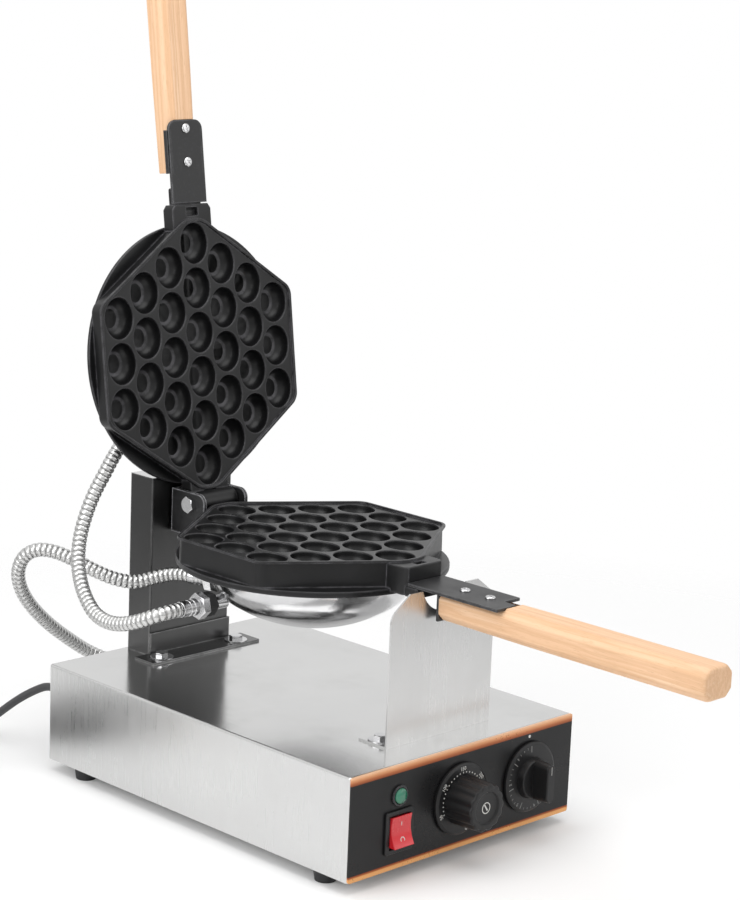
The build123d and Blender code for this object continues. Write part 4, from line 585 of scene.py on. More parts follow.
def mould_plate(wall):
    """The hexagonal plate with its rim and its thirty cups, its face at height 0."""
    bm = bmesh.new()
    corners = [bm.verts.new((x, v, 0)) for x, v in HEXAGON]
    bm.faces.new(corners)
    soften(bm, corners, CORNER, 6, "VERTICES")
    face = bm.faces[:][0]
    if face.normal.z < 0:
        bmesh.ops.reverse_faces(bm, faces=[face])
    outer = list(face.edges)
    rim_faces = bmesh.ops.inset_region(
        bm, faces=[face], thickness=RIM_W, use_even_offset=True, use_boundary=True
    )["faces"]
    foot_edges, foot_ring = grow(bm, outer)
    bmesh.ops.translate(bm, verts=foot_ring, vec=(0, 0, -wall))
    bmesh.ops.scale(bm, verts=foot_ring, vec=(WALL_DRAFT, WALL_DRAFT, 1))
    bmesh.ops.edgeloop_fill(bm, edges=foot_edges)
    lifted = bmesh.ops.extrude_face_region(bm, geom=rim_faces)
    bmesh.ops.translate(bm, verts=verts_of(lifted), vec=(0, 0, RIM_H))
    bmesh.ops.delete(bm, geom=rim_faces, context="FACES_ONLY")
    bm.normal_update()
    crest = [e for e in edges_of(lifted) if len(e.link_faces) == 2]
    soften(bm, [e for e in crest if e.calc_face_angle(0) > 1], RIM_SOFT, 3)
    inner = max(
        (f for f in bm.faces if len(f.verts) > 30), key=lambda f: f.calc_center_median().z
    )
    bmesh.ops.delete(bm, geom=[inner], context="FACES_ONLY")
    for x, v in cup_places:
        shell = cup()
        bmesh.ops.translate(shell, verts=shell.verts, vec=(x, v, 0))
        pour(shell, bm)
    open_edges = [e for e in bm.edges if e.is_boundary]
    bmesh.ops.triangle_fill(bm, edges=open_edges, use_beauty=True, normal=(0, 0, 1))
    return closed(bm)


def flange_ring(radius, inner, top, thick):
    """The round flange under a plate, with soft edges."""
    soft, low = 0.9, top - thick
    return turned_ring(
        [
            (inner, low), (radius - soft, low), (radius - 0.3, low + 0.3), (radius, low + soft),
            (radius, top - soft), (radius - 0.3, top - 0.3), (radius - soft, top), (inner, top),
        ],
        128,
    )


print("hexagon", len(HEXAGON), "sides before its corners are rounded")

# %% [markdown]
# ## The lower mould
# The lower plate also has a thick neck in front, which carries the handle, and a lug behind,
# between the hinge's cheeks. These are plain cast blocks with soft edges that run into the
# plate, so they are slabs that overlap it. Casting needs soft edges everywhere, because sharp
# ones crack in the mould and shed their coating first.

# %% Lower mould
UNDER_RIM, NECK_HALF, LUG_HALF, NECK_END = 111.7, 21, 20.8, 126
LOWER_WALL, UPPER_WALL = 20.0, 12.6


def neck_outline(half_x, far):
    """A neck's outline: its near end follows the corner of the hexagon, under the rim, and its
    far corners are cut."""
    side_v = UNDER_RIM - (half_x - APEX_X) * (APEX_V - SIDE_V) / (SIDE_X - APEX_X)
    near = [(half_x, side_v), (APEX_X, UNDER_RIM), (-APEX_X, UNDER_RIM), (-half_x, side_v)]
    cut = [(-half_x, far - 4), (3 - half_x, far), (half_x - 3, far), (half_x, far - 4)]
    return cut + near


lower_bench = bench(at(0, -2, 226), (-1, 0, 0), (0, 0, 1))
upright_bench = bench(at(0, 0, 0), (1, 0, 0), (0, 0, 1))
lower_neck = slab(neck_outline(NECK_HALF, NECK_END), -22.5, 0, edge=0.9)
sink(lower_neck, box_outline(6, 3.2, 0, 119.8), 3.5, draft=0.86)
lower_step = slab(box_outline(NECK_HALF, 7, 0, 131), -22.5, -14.6, corner=2.0, edge=0.9)
lower_lug = slab(neck_outline(LUG_HALF, 133.4), 203.6, 217.8, edge=1.2)
lower_mould = piece(
    "lower_mould_cast",
    set_down(
        lower_bench, mould_plate(LOWER_WALL), flange_ring(111.5, 78.0, -LOWER_WALL, 5.0),
        lower_neck, lower_step,
    )
    + set_down(moved(upright_bench, 0, -2), lower_lug),
    "turning_half", "mould_coating", "lower_mould",
)
print("lower mould:", len(lower_mould.data.polygons), "faces")

# %% [markdown]
# ## The upper mould
# The lid's plate is the same casting, thinner behind, and it stands open, leaning back by 8
# degrees. Its neck goes on as a tongue behind the handle's strip, and its hinge end is a round
# lug on the pin. The small hollow at each neck is where the casting was cored to save metal.

# %% Upper mould
lean_out, lean_up = polar(1.0, 7.92)
lid_out, lid_up = Vector((0, -lean_out, lean_up)), Vector((0, lean_up, lean_out))
lid_bench = bench(at(0, 141.07, 350.54), (1, 0, 0), lid_out)


def on_lid(x, v, out):
    """A point given on the lid's own face, in the frame's metres."""
    return lid_bench @ Vector((x, v, out))


upper_neck = slab(neck_outline(NECK_HALF, NECK_END), -UPPER_WALL, 0, edge=0.9)
sink(upper_neck, box_outline(6.4, 3.6, 0, 119.8), 4.0, draft=0.84)
tongue = slab(box_outline(14, 10, 0, 130), -UPPER_WALL, -4.0, corner=2.0, edge=0.8)
hinge_neck = slab(neck_outline(LUG_HALF, NECK_END), -UPPER_WALL, 0, edge=0.9)
bmesh.ops.rotate(hinge_neck, verts=hinge_neck.verts, matrix=Matrix.Rotation(math.pi, 3, "Z"))
sink(hinge_neck, box_outline(7.0, 2.6, 0, -116.6), 3.5, draft=0.84)
hinge_barrel = turned_ring(
    [(4.1, -20.8), (8.7, -20.8), (9.5, -20.0), (9.5, 20.0), (8.7, 20.8), (4.1, 20.8)], 64
)
upper_mould = piece(
    "upper_mould_cast",
    set_down(
        lid_bench, mould_plate(UPPER_WALL), flange_ring(109.5, 10.0, -UPPER_WALL, 3.4),
        upper_neck, tongue, hinge_neck,
    )
    + set_down(bench(on_lid(0, -124, 2), (0, 1, 0), (1, 0, 0)), hinge_barrel),
    "lid", "mould_coating", "upper_mould",
)
print("upper mould:", len(upper_mould.data.polygons), "faces")

# %% [markdown]
# ## The heater bowls
# Behind each mould a pressed steel bowl covers the heater. It was pressed over a die, so its
# section is two arcs that meet smoothly, with a flat flange for four screws. A turned outline
# of those arcs, out along the outer side and back along the inner, gives the sheet its real
# thickness, and 96 steps keep the polished reflections smooth.

# %% Bowls
BOWL_SHEET, BOWL_SIDE_R = 1.0, 36.0


def bowl(radius, depth, flange_r):
    """A pressed bowl standing on its flange, the flange's underside at height 0."""
    side_x = radius - BOWL_SIDE_R
    base_r = (side_x**2 + depth**2 - BOWL_SIDE_R**2) / (2 * (depth - BOWL_SIDE_R))
    meet = math.degrees(math.atan2(base_r - depth, side_x))

    def arcs(inset, rise):
        start = math.degrees(math.asin(rise / BOWL_SIDE_R))
        points = []
        for step in range(11):
            across, up = polar(BOWL_SIDE_R - inset, start + (meet - start) * step / 10)
            points.append((side_x + across, up))
        for step in range(1, 12):
            across, up = polar(base_r - inset, meet + (90 - meet) * step / 12)
            points.append((across, depth - base_r + up))
        return points + [(0.0, depth - inset)]

    outer, inner = arcs(0.0, 3.2), arcs(BOWL_SHEET, 1.6)
    foot_x = outer[0][0]
    flange = [
        (inner[0][0], 0.0), (flange_r - 0.25, 0), (flange_r, 0.3), (flange_r - 0.25, BOWL_SHEET),
        (foot_x + 2.6, BOWL_SHEET), (foot_x + 1.1, 1.35), (foot_x + 0.3, 2.1),
    ]
    return turned_ring(flange + outer + inner[::-1], 96)


lower_bowl_bench = bench(at(0, -2, 201), (1, 0, 0), (0, 0, -1))
upper_bowl_bench = bench(on_lid(0, 0, -16), (-1, 0, 0), -lid_out)
piece(
    "lower_bowl_pressed", set_down(lower_bowl_bench, bowl(86.0, 51.0, 95.0)),
    "turning_half", "polished_steel", "lower_bowl",
)
piece(
    "upper_bowl_pressed", set_down(upper_bowl_bench, bowl(66.5, 48.0, 75.0)),
    "lid", "polished_steel", "upper_bowl",
)
print("two bowls")

# %% [markdown]
# ## Screws and bolts
# Small fasteners decide whether a machine looks real from close by. A pan head screw has a
# soft dome and a cross slot, which is pressed into its flat top. A bolt's head gets the cone cut
# on its corners and a washer under it. All of them repeat, so each kind is one function, set
# down on every place where the CAD has one.

# %% Fasteners
BOWL_SCREW, STRIP_SCREW = (3.6, 2.2), (4.2, 1.8)


def pan_screw(radius, height):
    """A round screw head with a cross slot, standing on height 0."""
    rise = ((0.97, 0), (1, 0.12), (0.985, 0.42), (0.93, 0.68), (0.82, 0.88), (0.7, 1))
    bm = turned([(0.0, 0.0)] + [(radius * across, height * up) for across, up in rise], 32)
    closed(bm, [e for e in bm.edges if e.is_boundary])
    a, b = radius * 0.55, radius * 0.12
    cross = [
        (a, -b), (a, b), (b, b), (b, a), (-b, a), (-b, b),
        (-a, b), (-a, -b), (-b, -b), (-b, -a), (b, -a), (b, -b),
    ]
    sink(bm, cross, height * 0.55, draft=0.8)
    return bm


def bowl_screws(place, circle):
    """Four screws on a bowl's flange, each turned a little differently, as screws end up."""
    heads = []
    for turn, twist in ((30, 12), (120, 57), (210, 33), (300, 78)):
        spot = moved(place, *polar(circle, turn), BOWL_SHEET, twist)
        heads += set_down(spot, pan_screw(*BOWL_SCREW))
    return heads


def strip_screws(place, height, *spots):
    """Screws along a strip, each at its own length and turn."""
    heads = []
    for along, turn in spots:
        heads += set_down(moved(place, 0, along, height, turn), pan_screw(*STRIP_SCREW))
    return heads


def bolt(x, y, z, below, turn, flats=10, height=4.5, radius=3):
    """A hexagon bolt with a washer under its head and its shank below."""
    washer = turned_ring(
        [(radius, 0), (flats * 0.98, 0), (flats, 0.2), (flats, 0.7), (flats * 0.97, 0.9),
         (radius, 0.9)],
        40,
    )
    shank = turned(
        [(0, -below), (radius - 0.6, -below), (radius, -below + 0.6), (radius, 1), (0, 1)], 24
    )
    spot = moved(upright_bench, x, y, z, turn)
    return set_down(spot, washer, hexagon_bar(flats, 0.9, height), shank)


for name, heads, body, stands_for in (
    ("lower_bowl_screw_heads", bowl_screws(lower_bowl_bench, 90.5), "turning_half",
     "lower_bowl_screws"),
    ("upper_bowl_screw_heads", bowl_screws(upper_bowl_bench, 70.8), "lid", "upper_bowl_screws"),
    ("lower_strip_screw_heads", strip_screws(upright_bench, 214, (-171, 20), (-197, 65)),
     "turning_half", "lower_strip_screws"),
    ("upper_strip_screw_heads", strip_screws(lid_bench, -1.5, (161, 40), (188.8, 10)), "lid",
     "upper_strip_screws"),
    ("column_hex_bolts", bolt(-42, 134, 95, 15.2, 18) + bolt(42, 134, 95, 15.2, 47), "base",
     "column_bolts"),
    ("rest_hex_bolts", bolt(-48, -134, 94.5, 14.7, 8) + bolt(48, -134, 94.5, 14.7, 33), "base",
     "rest_bolts"),
):
    piece(name, heads, body, "polished_steel", stands_for)
print("screws and bolts done")

# %% [markdown]
# ## The hinge pin
# The lid turns on an 8 mm bolt through the bracket's cheeks. Its bright six sided head faces
# the left, and a nut with the thread's end past it closes it on the right. The thread is only a
# few turned grooves, because at this size nobody sees that they don't climb.

# %% Hinge pin and nut
HINGE_FLATS, CHEEK_OUTSIDE = 12.8, 24.5
hinge_low, hinge_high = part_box("hinge_nut")
hinge_centre = (hinge_low + hinge_high) / 2
hinge_middle = Vector((middle.x, hinge_centre.y, hinge_centre.z))
hinge_left, hinge_right = (bench(hinge_middle, (0, 1, 0), (side, 0, 0)) for side in (-1, 1))
thread = [(0, -24.4), (4, -24.4), (4, 24.6)]
for ridge in range(7):
    height = 24.8 + ridge * 1.1
    thread += [(4.0, height), (3.6, height + 0.5)]
thread += [(3.4, 32.5), (0, 32.5)]
bolt_head = hexagon_bar(HINGE_FLATS, CHEEK_OUTSIDE, 29.5)
piece(
    "hinge_bolt",
    set_down(hinge_right, turned(thread, 32)) + set_down(moved(hinge_left, turn=11), bolt_head),
    "turning_half", "polished_steel", "hinge_pin",
)
piece(
    "hinge_hex_nut",
    set_down(moved(hinge_right, turn=24), hexagon_bar(HINGE_FLATS, CHEEK_OUTSIDE, 30.5)),
    "turning_half", "polished_steel", "hinge_nut",
)
print("hinge axis at", round(hinge_centre.y, 4), round(hinge_centre.z, 4))

# %% [markdown]
# ## The conduit fittings
# Each hose ends in a fitting: a black nylon nut against the bowl, a steel hexagon, and a long
# ferrule that is crimped on the hose. The ferrule is one turned outline with two crimp grooves.
# The same fitting sits in four places, so one function makes it for a workbench at its seat.

# %% Fittings
def steel_fitting(place, stub=14):
    """The stub through the wall, the steel hexagon and the crimped ferrule."""
    tube = turned_ring([(4.3, -stub), (6.0, -stub), (6.0, 9.2), (4.3, 9.2)], 32)
    ferrule = turned_ring(
        [
            (5.3, 15.8), (6.7, 15.8), (7.0, 16.4), (7.0, 18.2), (6.6, 18.8), (6.6, 21.0),
            (6.15, 21.5), (6.15, 22.3), (6.6, 22.8), (6.6, 25.2), (6.15, 25.7), (6.15, 26.5),
            (6.6, 27.0), (6.75, 31.8), (6.5, 32.9), (6.2, 33.3), (5.3, 33.3),
        ],
        40,
    )
    hexagon = hexagon_bar(19.0, 9.0, 16.0, cone=0.95)
    return set_down(place, tube, ferrule) + set_down(moved(place, turn=14), hexagon)


def nylon_nut(place):
    """The black six sided nut against the wall."""
    return set_down(place, slab(six_sided(10.5), 0, 9, corner=1.0, edge=0.8))


rear_axis = Vector((-0.32557, 0.94552, 0))
upper_axis = Vector((-0.70711, -0.09743, -0.70036))
lower_seat = bench(at(-79.6, 31, 172), (0, 1, 0), (-1, 0, 0))
rear_seat = bench(at(0, -2, 172) + rear_axis * 80.9 * MM, (0, 0, 1), rear_axis)
upper_seat = bench(at(0, 169.79, 346.54) + upper_axis * 67.2 * MM, lid_out, upper_axis)
base_seat = bench(at(-14, HALF_DEPTH, 62), (1, 0, 0), (0, 1, 0))
for row in (
    ("bowl_conduit_fittings", steel_fitting(lower_seat) + steel_fitting(rear_seat),
     "turning_half", "polished_steel", "bowl_fittings"),
    ("lid_conduit_fitting", steel_fitting(upper_seat), "lid", "polished_steel", "lid_fitting"),
    ("base_conduit_fitting", steel_fitting(base_seat, 7.2), "base", "polished_steel",
     "base_fitting"),
    ("bowl_nylon_nuts", nylon_nut(lower_seat) + nylon_nut(rear_seat), "turning_half",
     "nut_black", "bowl_lock_nuts"),
    ("lid_nylon_nut", nylon_nut(upper_seat), "lid", "nut_black", "lid_lock_nut"),
    ("base_nylon_nut", nylon_nut(base_seat), "base", "nut_black", "base_lock_nut"),
):
    piece(*row)
print("four fittings")

# %% [markdown]
# ## The lead's sleeve
# Where the lead leaves the box, a gland clamps it and a tapered rubber sleeve keeps it from
# bending sharply. Slots round the sleeve let it flex. It is turned in one outline, thick at the
# wall and thin at its tip, with five grooves.

# %% Gland and sleeve
LEAD_HOLE, SLEEVE_TIP = 3.6, 31.0
gland_bench = bench(at(-95, HALF_DEPTH, 58), (-1, 0, 0), (0, 1, 0))
sleeve_profile = [(LEAD_HOLE, 4.5), (8.2, 4.5), (8.2, 5.6), (7.5, 6.2)]
for groove_number in range(5):
    start = 8.2 + 4.3 * groove_number
    outer = 7.5 - 2.9 * (start - 5) / 26
    sleeve_profile += [
        (outer, start), (outer - 0.25, start + 0.15), (outer - 1.1, start + 0.3),
        (outer - 1.1, start + 1.5), (outer - 0.4, start + 1.65), (outer - 0.2, start + 1.8),
    ]
sleeve_profile += [(4.7, 30.4), (4.4, SLEEVE_TIP), (LEAD_HOLE, SLEEVE_TIP)]
gland_neck = [
    (LEAD_HOLE, -5.2), (9, -5.2), (9, -1.2), (6.7, -1.2), (6.7, 0.2), (LEAD_HOLE, 0.2),
]
piece(
    "cord_sleeve",
    set_down(
        gland_bench, slab(six_sided(10.35), 0, 5, corner=0.9, edge=0.7),
        turned_ring(sleeve_profile, 48), turned_ring(gland_neck, 40),
    ),
    "base", "nut_black", "cord_gland",
)
print("sleeve", SLEEVE_TIP, "mm long")

# %% [markdown]
# ## Handle strips
# Flat steel strips carry the wooden grips, so the wood stays away from the heat. The lower one
# has a notch at its end and a tab that goes down in front of the wood. The upper one is folded
# along both sides, which makes it stiff. Thin plate with edges rounded by half a millimetre
# catches a bright line of light, as it does in the photograph.

# %% Strips
lower_outline = [
    (-20, -128.3), (-20, -222), (2, -222), (2, -210), (20, -210), (20, -128.3),
]
piece(
    "lower_handle_strip",
    set_down(
        upright_bench, slab(lower_outline, 211.5, 214, corner=1.2, edge=0.5),
        slab(box_outline(14, 1.25, 0, -155.75), 188.5, 212.0, corner=0.5, edge=0.4),
    ),
    "turning_half", "black_steel", "lower_strip",
)


def rounded_outline(half_x, low, high, radius):
    """A rectangle whose two far corners are round."""
    outline = [(-half_x, low), (half_x, low)]
    for centre_x, first in ((half_x - radius, 0), (radius - half_x, 90)):
        for step in range(7):
            x, y = polar(radius, first + 15 * step)
            outline.append((centre_x + x, high - radius + y))
    return outline


lips = [
    slab(box_outline(1.0, 18.0, side, 170), -8.5, -2.0, corner=0.4, edge=0.4)
    for side in (-17.5, 17.5)
]
upper_plate = slab(rounded_outline(18.5, 127, 196, 8.0), -4.0, -1.5, edge=0.5)
piece(
    "upper_handle_strip", set_down(lid_bench, upper_plate, *lips), "lid", "black_steel",
    "upper_strip",
)
print("two strips")

# %% [markdown]
# ## Wooden grips
# The grips are sanded beech, square with flat chamfers and domed ends. A section with softened
# corners is raised in stages: a little slimmer where it enters the strip, full along the grip,
# and drawn in at the end. The seat for the strip is then cut with two planes, as a saw would.

# %% Grips
GRIP_LENGTH, GRIP_HALF, CHAMFER, SEAT_DEPTH = 257.8, 16.0, 6.0, 2.0


def cut_away(bm, point, normal, cap=True):
    """Cut a shape with a plane and take away the side that the normal points to."""
    cut = bmesh.ops.bisect_plane(
        bm, geom=bm.verts[:] + bm.edges[:] + bm.faces[:], plane_co=point, plane_no=normal,
        clear_outer=True,
    )
    if cap:
        bmesh.ops.edgeloop_fill(bm, edges=edges_of(cut, "geom_cut"))


def wooden_grip(height, seat_length):
    """A grip along z whose back face, where the strip lies, is at y = 0."""
    half_y = height / 2
    x, y = GRIP_HALF - CHAMFER, half_y - CHAMFER
    section = [
        (GRIP_HALF, -y), (GRIP_HALF, y), (x, half_y), (-x, half_y),
        (-GRIP_HALF, y), (-GRIP_HALF, -y), (-x, -half_y), (x, -half_y),
    ]
    slim_x, slim_y = 1 - 1.5 / GRIP_HALF, 1 - 0.75 / half_y
    stages = [
        (0.0, slim_x * 0.975, slim_y * 0.97), (0.7, slim_x, slim_y),
        (GRIP_LENGTH * 0.33, 0.968, 0.985), (GRIP_LENGTH * 0.66, 0.985, 0.993),
        (GRIP_LENGTH - 5.0, 1.0, 1.0), (GRIP_LENGTH - 2.6, 0.985, 0.985),
        (GRIP_LENGTH - 1.1, 0.955, 0.95), (GRIP_LENGTH - 0.3, 0.905, 0.885),
        (GRIP_LENGTH, 0.82, 0.79),
    ]
    outer, inner = (raised(section, stages, corner=1.1, steps=3) for _ in range(2))
    for half in (outer, inner):
        bmesh.ops.translate(half, verts=half.verts, vec=(0, -half_y, 0))
    cut_away(outer, (0, 0, seat_length), (0, 0, -1))
    cut_away(inner, (0, 0, seat_length), (0, 0, 1), cap=False)
    cut_away(inner, (0, -SEAT_DEPTH, 0), (0, 1, 0))
    for half in (outer, inner):
        closed(half)
        grain_place = half.verts.layers.float_vector.new("grain_place")
        for vertex in half.verts:
            vertex[grain_place] = vertex.co
    return outer, inner


lower_grip_bench = bench(at(0, -157.2, 213.5), (1, 0, 0), (0, -1, 0))
upper_grip_bench = bench(on_lid(0, 152.5, -2.0), (-1, 0, 0), lid_up)
piece(
    "lower_wood_grip", set_down(lower_grip_bench, *wooden_grip(25.0, 65.1)),
    "turning_half", "beech", "lower_handle", crease=50,
)
piece(
    "upper_wood_grip", set_down(upper_grip_bench, *wooden_grip(26.0, 43.8)),
    "lid", "beech", "upper_handle", crease=50,
)
print("grips", GRIP_LENGTH, "mm long")

# %% [markdown]
# ## The pilot lamp
# A small green lens in a dark ring tells that the heaters are on. Ring and lens are turned. The
# lens is a low dome on a short straight wall, and a shallow step inside it would show only when
# the lamp is lit, so it is left plain.

# %% Lamp
LENS_R, LENS_WALL, LENS_DOME = 6.2, 2.0, 2.7
panel = bench(at(0, -HALF_DEPTH, 0), (1, 0, 0), (0, -1, 0))
lamp_bench = moved(panel, -73.5, 68.5)
lamp_ring = turned_ring(
    [
        (6.35, 0.0), (8.5, 0.0), (8.5, 1.2), (8.38, 1.6), (8.1, 1.87), (7.7, 2.0),
        (6.9, 2.0), (6.6, 1.85), (6.45, 1.5), (6.35, 1.1),
    ],
    64,
)
lens_profile = [(0, 0.8), (LENS_R, 0.8), (LENS_R, LENS_WALL)]
for step in range(1, 8):
    across, up = polar(1.0, 90 * step / 8)
    lens_profile.append((LENS_R * across, LENS_WALL + LENS_DOME * up))
lens_profile.append((0.0, LENS_WALL + LENS_DOME))
piece("lamp_ring", set_down(lamp_bench, lamp_ring), "base", "lamp_chrome", "indicator_bezel")
piece(
    "lamp_lens", set_down(lamp_bench, turned(lens_profile)), "base", "lamp_green",
    "indicator_lens",
)
print("lamp done")

# %% [markdown]
# ## The rocker switch
# The switch is a black frame with a red rocker in its well. The rocker's side view is a shallow
# V on top and a heel below, so that outline is raised across its width and its edges are
# softened. The frame is a slab whose opening goes right through, over a body with a deep well.

# %% Switch
ROCKER_TILT, ROCKER_HALF_W = 8, 10.5
switch_bench = moved(panel, -73.5, 40.5)
opening = box_outline(11.0, 13.55)
frame_rim = slab(box_outline(15, 17), 0, 2.2, corner=2.0, edge=0.7)
hole_edges = sink(frame_rim, opening, 2.2, floor=False)
under = min(
    (f for f in frame_rim.faces if f.normal.z < -0.9), key=lambda f: f.calc_center_median().z
)
under_edges = list(under.edges)
bmesh.ops.delete(frame_rim, geom=[under], context="FACES_ONLY")
bmesh.ops.triangle_fill(
    frame_rim, edges=under_edges + hole_edges, use_beauty=True, normal=(0, 0, -1)
)
switch_body = slab(box_outline(12.3, 15.0), -20, -0.01)
sink(switch_body, opening, 12.0)
piece(
    "switch_frame", set_down(switch_bench, closed(frame_rim), switch_body),
    "base", "knob_black", "rocker_housing",
)
rocker_up, rocker_lean = polar(1.0, ROCKER_TILT)
rocker_bench = bench(at(-73.5, -180, 40.5), (0, rocker_lean, rocker_up), (1, 0, 0))
rocker = slab(
    [
        (12.4, 7.5), (6.2, 5.55), (0, 4.8), (-6.2, 5.55), (-12.4, 7.5), (-10.9, -2), (0, -5),
        (10.9, -2),
    ],
    -ROCKER_HALF_W, ROCKER_HALF_W, edge=0.55,
)
top_ends = [
    e for e in rocker.edges
    if climb_of(e) > 5 and abs(e.verts[0].co.x) > 11 and e.verts[0].co.y > 0
]
soften(rocker, top_ends, 0.9, 4)
piece(
    "switch_rocker", set_down(rocker_bench, rocker), "switch", "switch_red", "rocker_button",
    crease=30,
)
print("switch done")

# %% [markdown]
# ## Marks on the controls
# Dials carry plain numbers and ticks, and a rocker its I and O. They are printed in white or
# grey, about a tenth of a millimetre thick. A number starts as Blender text, which is made a
# mesh before it is placed, so that it is a piece like any other.

# %% Ink
def numeral(text, size):
    """A number as a thin flat mesh."""
    data = bpy.data.curves.new("numeral", "FONT")
    data.body, data.size = text, size
    data.align_x, data.align_y = "CENTER", "CENTER"
    data.extrude = 0.05
    data.resolution_u = 3
    holder = linked("numeral", data)
    mesh = bpy.data.meshes.new_from_object(holder)
    bpy.data.objects.remove(holder)
    bm = bmesh.new()
    bm.from_mesh(mesh)
    bpy.data.meshes.remove(mesh)
    return bm


def printed_bar(half_x, half_y):
    """A printed bar, standing on height 0."""
    return slab(box_outline(half_x, half_y), -0.05, 0.06)


def printed_dot(radius):
    """A printed dot."""
    return turned([(0, -0.05), (radius, -0.05), (radius, 0.06), (0, 0.06)], 20)


def printed_ring(inner, outer, thick, steps):
    """A printed ring."""
    return turned_ring([(inner, -0.1), (outer, -0.1), (outer, thick), (inner, thick)], steps)


on_face, off_face = (
    bench(
        rocker_bench @ Vector((6.6 * side, 5.68, 0)), (1, 0, 0),
        rocker_bench.to_3x3() @ Vector((-0.18 * side, 0.98, 0)),
    )
    for side in (1, -1)
)
piece(
    "switch_marks",
    set_down(on_face, slab(box_outline(0.32, 2.2), -0.1, 0.12))
    + set_down(off_face, printed_ring(1.7, 2.3, 0.12, 32)),
    "switch", "switch_red",
)
print("ink helpers ready")

# %% [markdown]
# ## The thermostat knob
# This knob has a numbered skirt and a grip with soft lobes, like a bottle cap's but rounder.
# The skirt is turned. The grip is a circle raised in stages, whose radius swings in and out
# round the circle. Its face is slightly hollow, with a small pointer in the middle.

# %% Thermostat knob
LOBES, DIAL_TOP, DIAL_Z = 14, 4.1, 51


def lobed_grip(radius, low, high):
    """A grip with soft lobes round its side and a shallow hollow in its face."""
    bm = bmesh.new()
    ring = bmesh.ops.create_circle(bm, segments=LOBES * 8, radius=1.0)["verts"]
    edges = bm.edges[:]
    slope = math.tan(math.radians(3))
    top_r = radius - slope * (high - low)
    stages = [
        (low, radius, 1.45), (high - 1.8, top_r + slope * 1.8, 1.45),
        (high - 0.9, top_r - 0.25, 1.4), (high - 0.3, top_r - 0.8, 1.25),
        (high, top_r - 1.7, 0.95), (high, 13.6, 0.0), (high - 0.25, 13.1, 0.0),
        (high - 1.2, 12.7, 0.0), (high - 1.5, 12.2, 0.0), (high - 1.5, 5.0, 0.0),
    ]
    for count, (rise, size, dip) in enumerate(stages):
        if count:
            edges, ring = grow(bm, edges)
        for vertex in ring:
            turn = math.atan2(vertex.co.y, vertex.co.x)
            wave = (1 - math.cos(LOBES * turn)) / 2
            reach = size - dip * wave**1.4
            vertex.co = (reach * math.cos(turn), reach * math.sin(turn), rise)
    return closed(bm, edges)


def dial_skirt():
    """The skirt under a knob, with its sloped edge."""
    return turned_ring(
        [
            (3.05, 0.5), (28.7, 0.5), (29.0, 0.8), (29.0, 2.6), (28.8, 2.95), (27.1, 3.98),
            (26.6, DIAL_TOP), (3.05, DIAL_TOP),
        ],
        96,
    )


def on_dial(place, radius, turn, shape):
    """A shape set down on a dial: the angle is from the right, and its y points outwards."""
    return set_down(moved(place, *polar(radius, turn), DIAL_TOP, turn - 90), shape)


thermostat_bench = moved(panel, -6.5, DIAL_Z)
piece(
    "thermostat_knob_lobed",
    set_down(thermostat_bench, dial_skirt(), lobed_grip(20.5, 4.0, 30.1)),
    "thermostat", "knob_black", "thermostat_knob", crease=42,
)
thermostat_ink = []
for step, label in enumerate(("50", "100", "150", "200", "250", "300")):
    turn = 202 - 55 * step
    thermostat_ink += on_dial(thermostat_bench, 25.1, turn, numeral(label, 4.2))
    thermostat_ink += on_dial(thermostat_bench, 22.1, turn, printed_bar(0.3, 0.75))
    for tick in range(1, 6 if label != "300" else 1):
        thermostat_ink += on_dial(
            thermostat_bench, 22.0, turn - 55 * tick / 6, printed_dot(0.6)
        )
thermostat_ink += set_down(
    moved(thermostat_bench, 0, 0, 28.6, 35), printed_ring(3.9, 4.6, 0.1, 40),
    slab(box_outline(0.55, 3.1, 0, 0.4), -0.1, 0.1),
)
piece("thermostat_marks", thermostat_ink, "thermostat", "knob_black")
print("thermostat marks:", len(thermostat_ink))

# %% [markdown]
# ## The timer knob
# The timer has the same skirt with a low hub and an upright bar to turn it by. The bar is an
# outline with round ends, raised with a slight taper. Its edges are softened, because fingers
# hold it there, and a white line on it points to the minutes.

# %% Timer knob
timer_bench = moved(panel, 73.5, DIAL_Z)
bar_outline = []
for centre_y, first in ((12.0, 0), (-12.0, 180)):
    for step in range(9):
        x, y = polar(5, first + 22.5 * step)
        bar_outline.append((x, centre_y + y))
bar = raised(
    bar_outline,
    [
        (4.0, 1.0, 1.0), (22.6, 0.90, 0.943), (23.8, 0.885, 0.937), (24.6, 0.83, 0.925),
        (25.1, 0.72, 0.90),
    ],
)
hub = turned_ring(
    [(3.05, 4.0), (17.0, 4.0), (16.3, 9.0), (15.9, 9.8), (15.2, 10.1), (3.05, 10.1)], 72
)
piece(
    "timer_knob_barred", set_down(timer_bench, dial_skirt(), hub, bar),
    "timer", "knob_black", "timer_knob", crease=42,
)
timer_ink = []
for minute in range(6):
    turn = 93 + 50 * minute
    timer_ink += on_dial(timer_bench, 23.9, turn, printed_bar(0.28, 2.6))
    if minute:
        timer_ink += on_dial(timer_bench, 24.6, turn - 11, numeral(str(minute), 3.9))
    for tick in range(1, 5 if minute < 5 else 1):
        timer_ink += on_dial(timer_bench, 25.4, turn + 10 * tick, printed_bar(0.18, 0.9))
timer_ink += set_down(moved(timer_bench, 0, 10.8, 25.1), printed_bar(0.5, 3.4))
piece("timer_marks", timer_ink, "timer", "knob_black")
piece(
    "panel_dot", set_down(moved(panel, 73.5, 84.2), printed_dot(1.3)), "base", "fascia_black"
)
print("timer marks:", len(timer_ink))

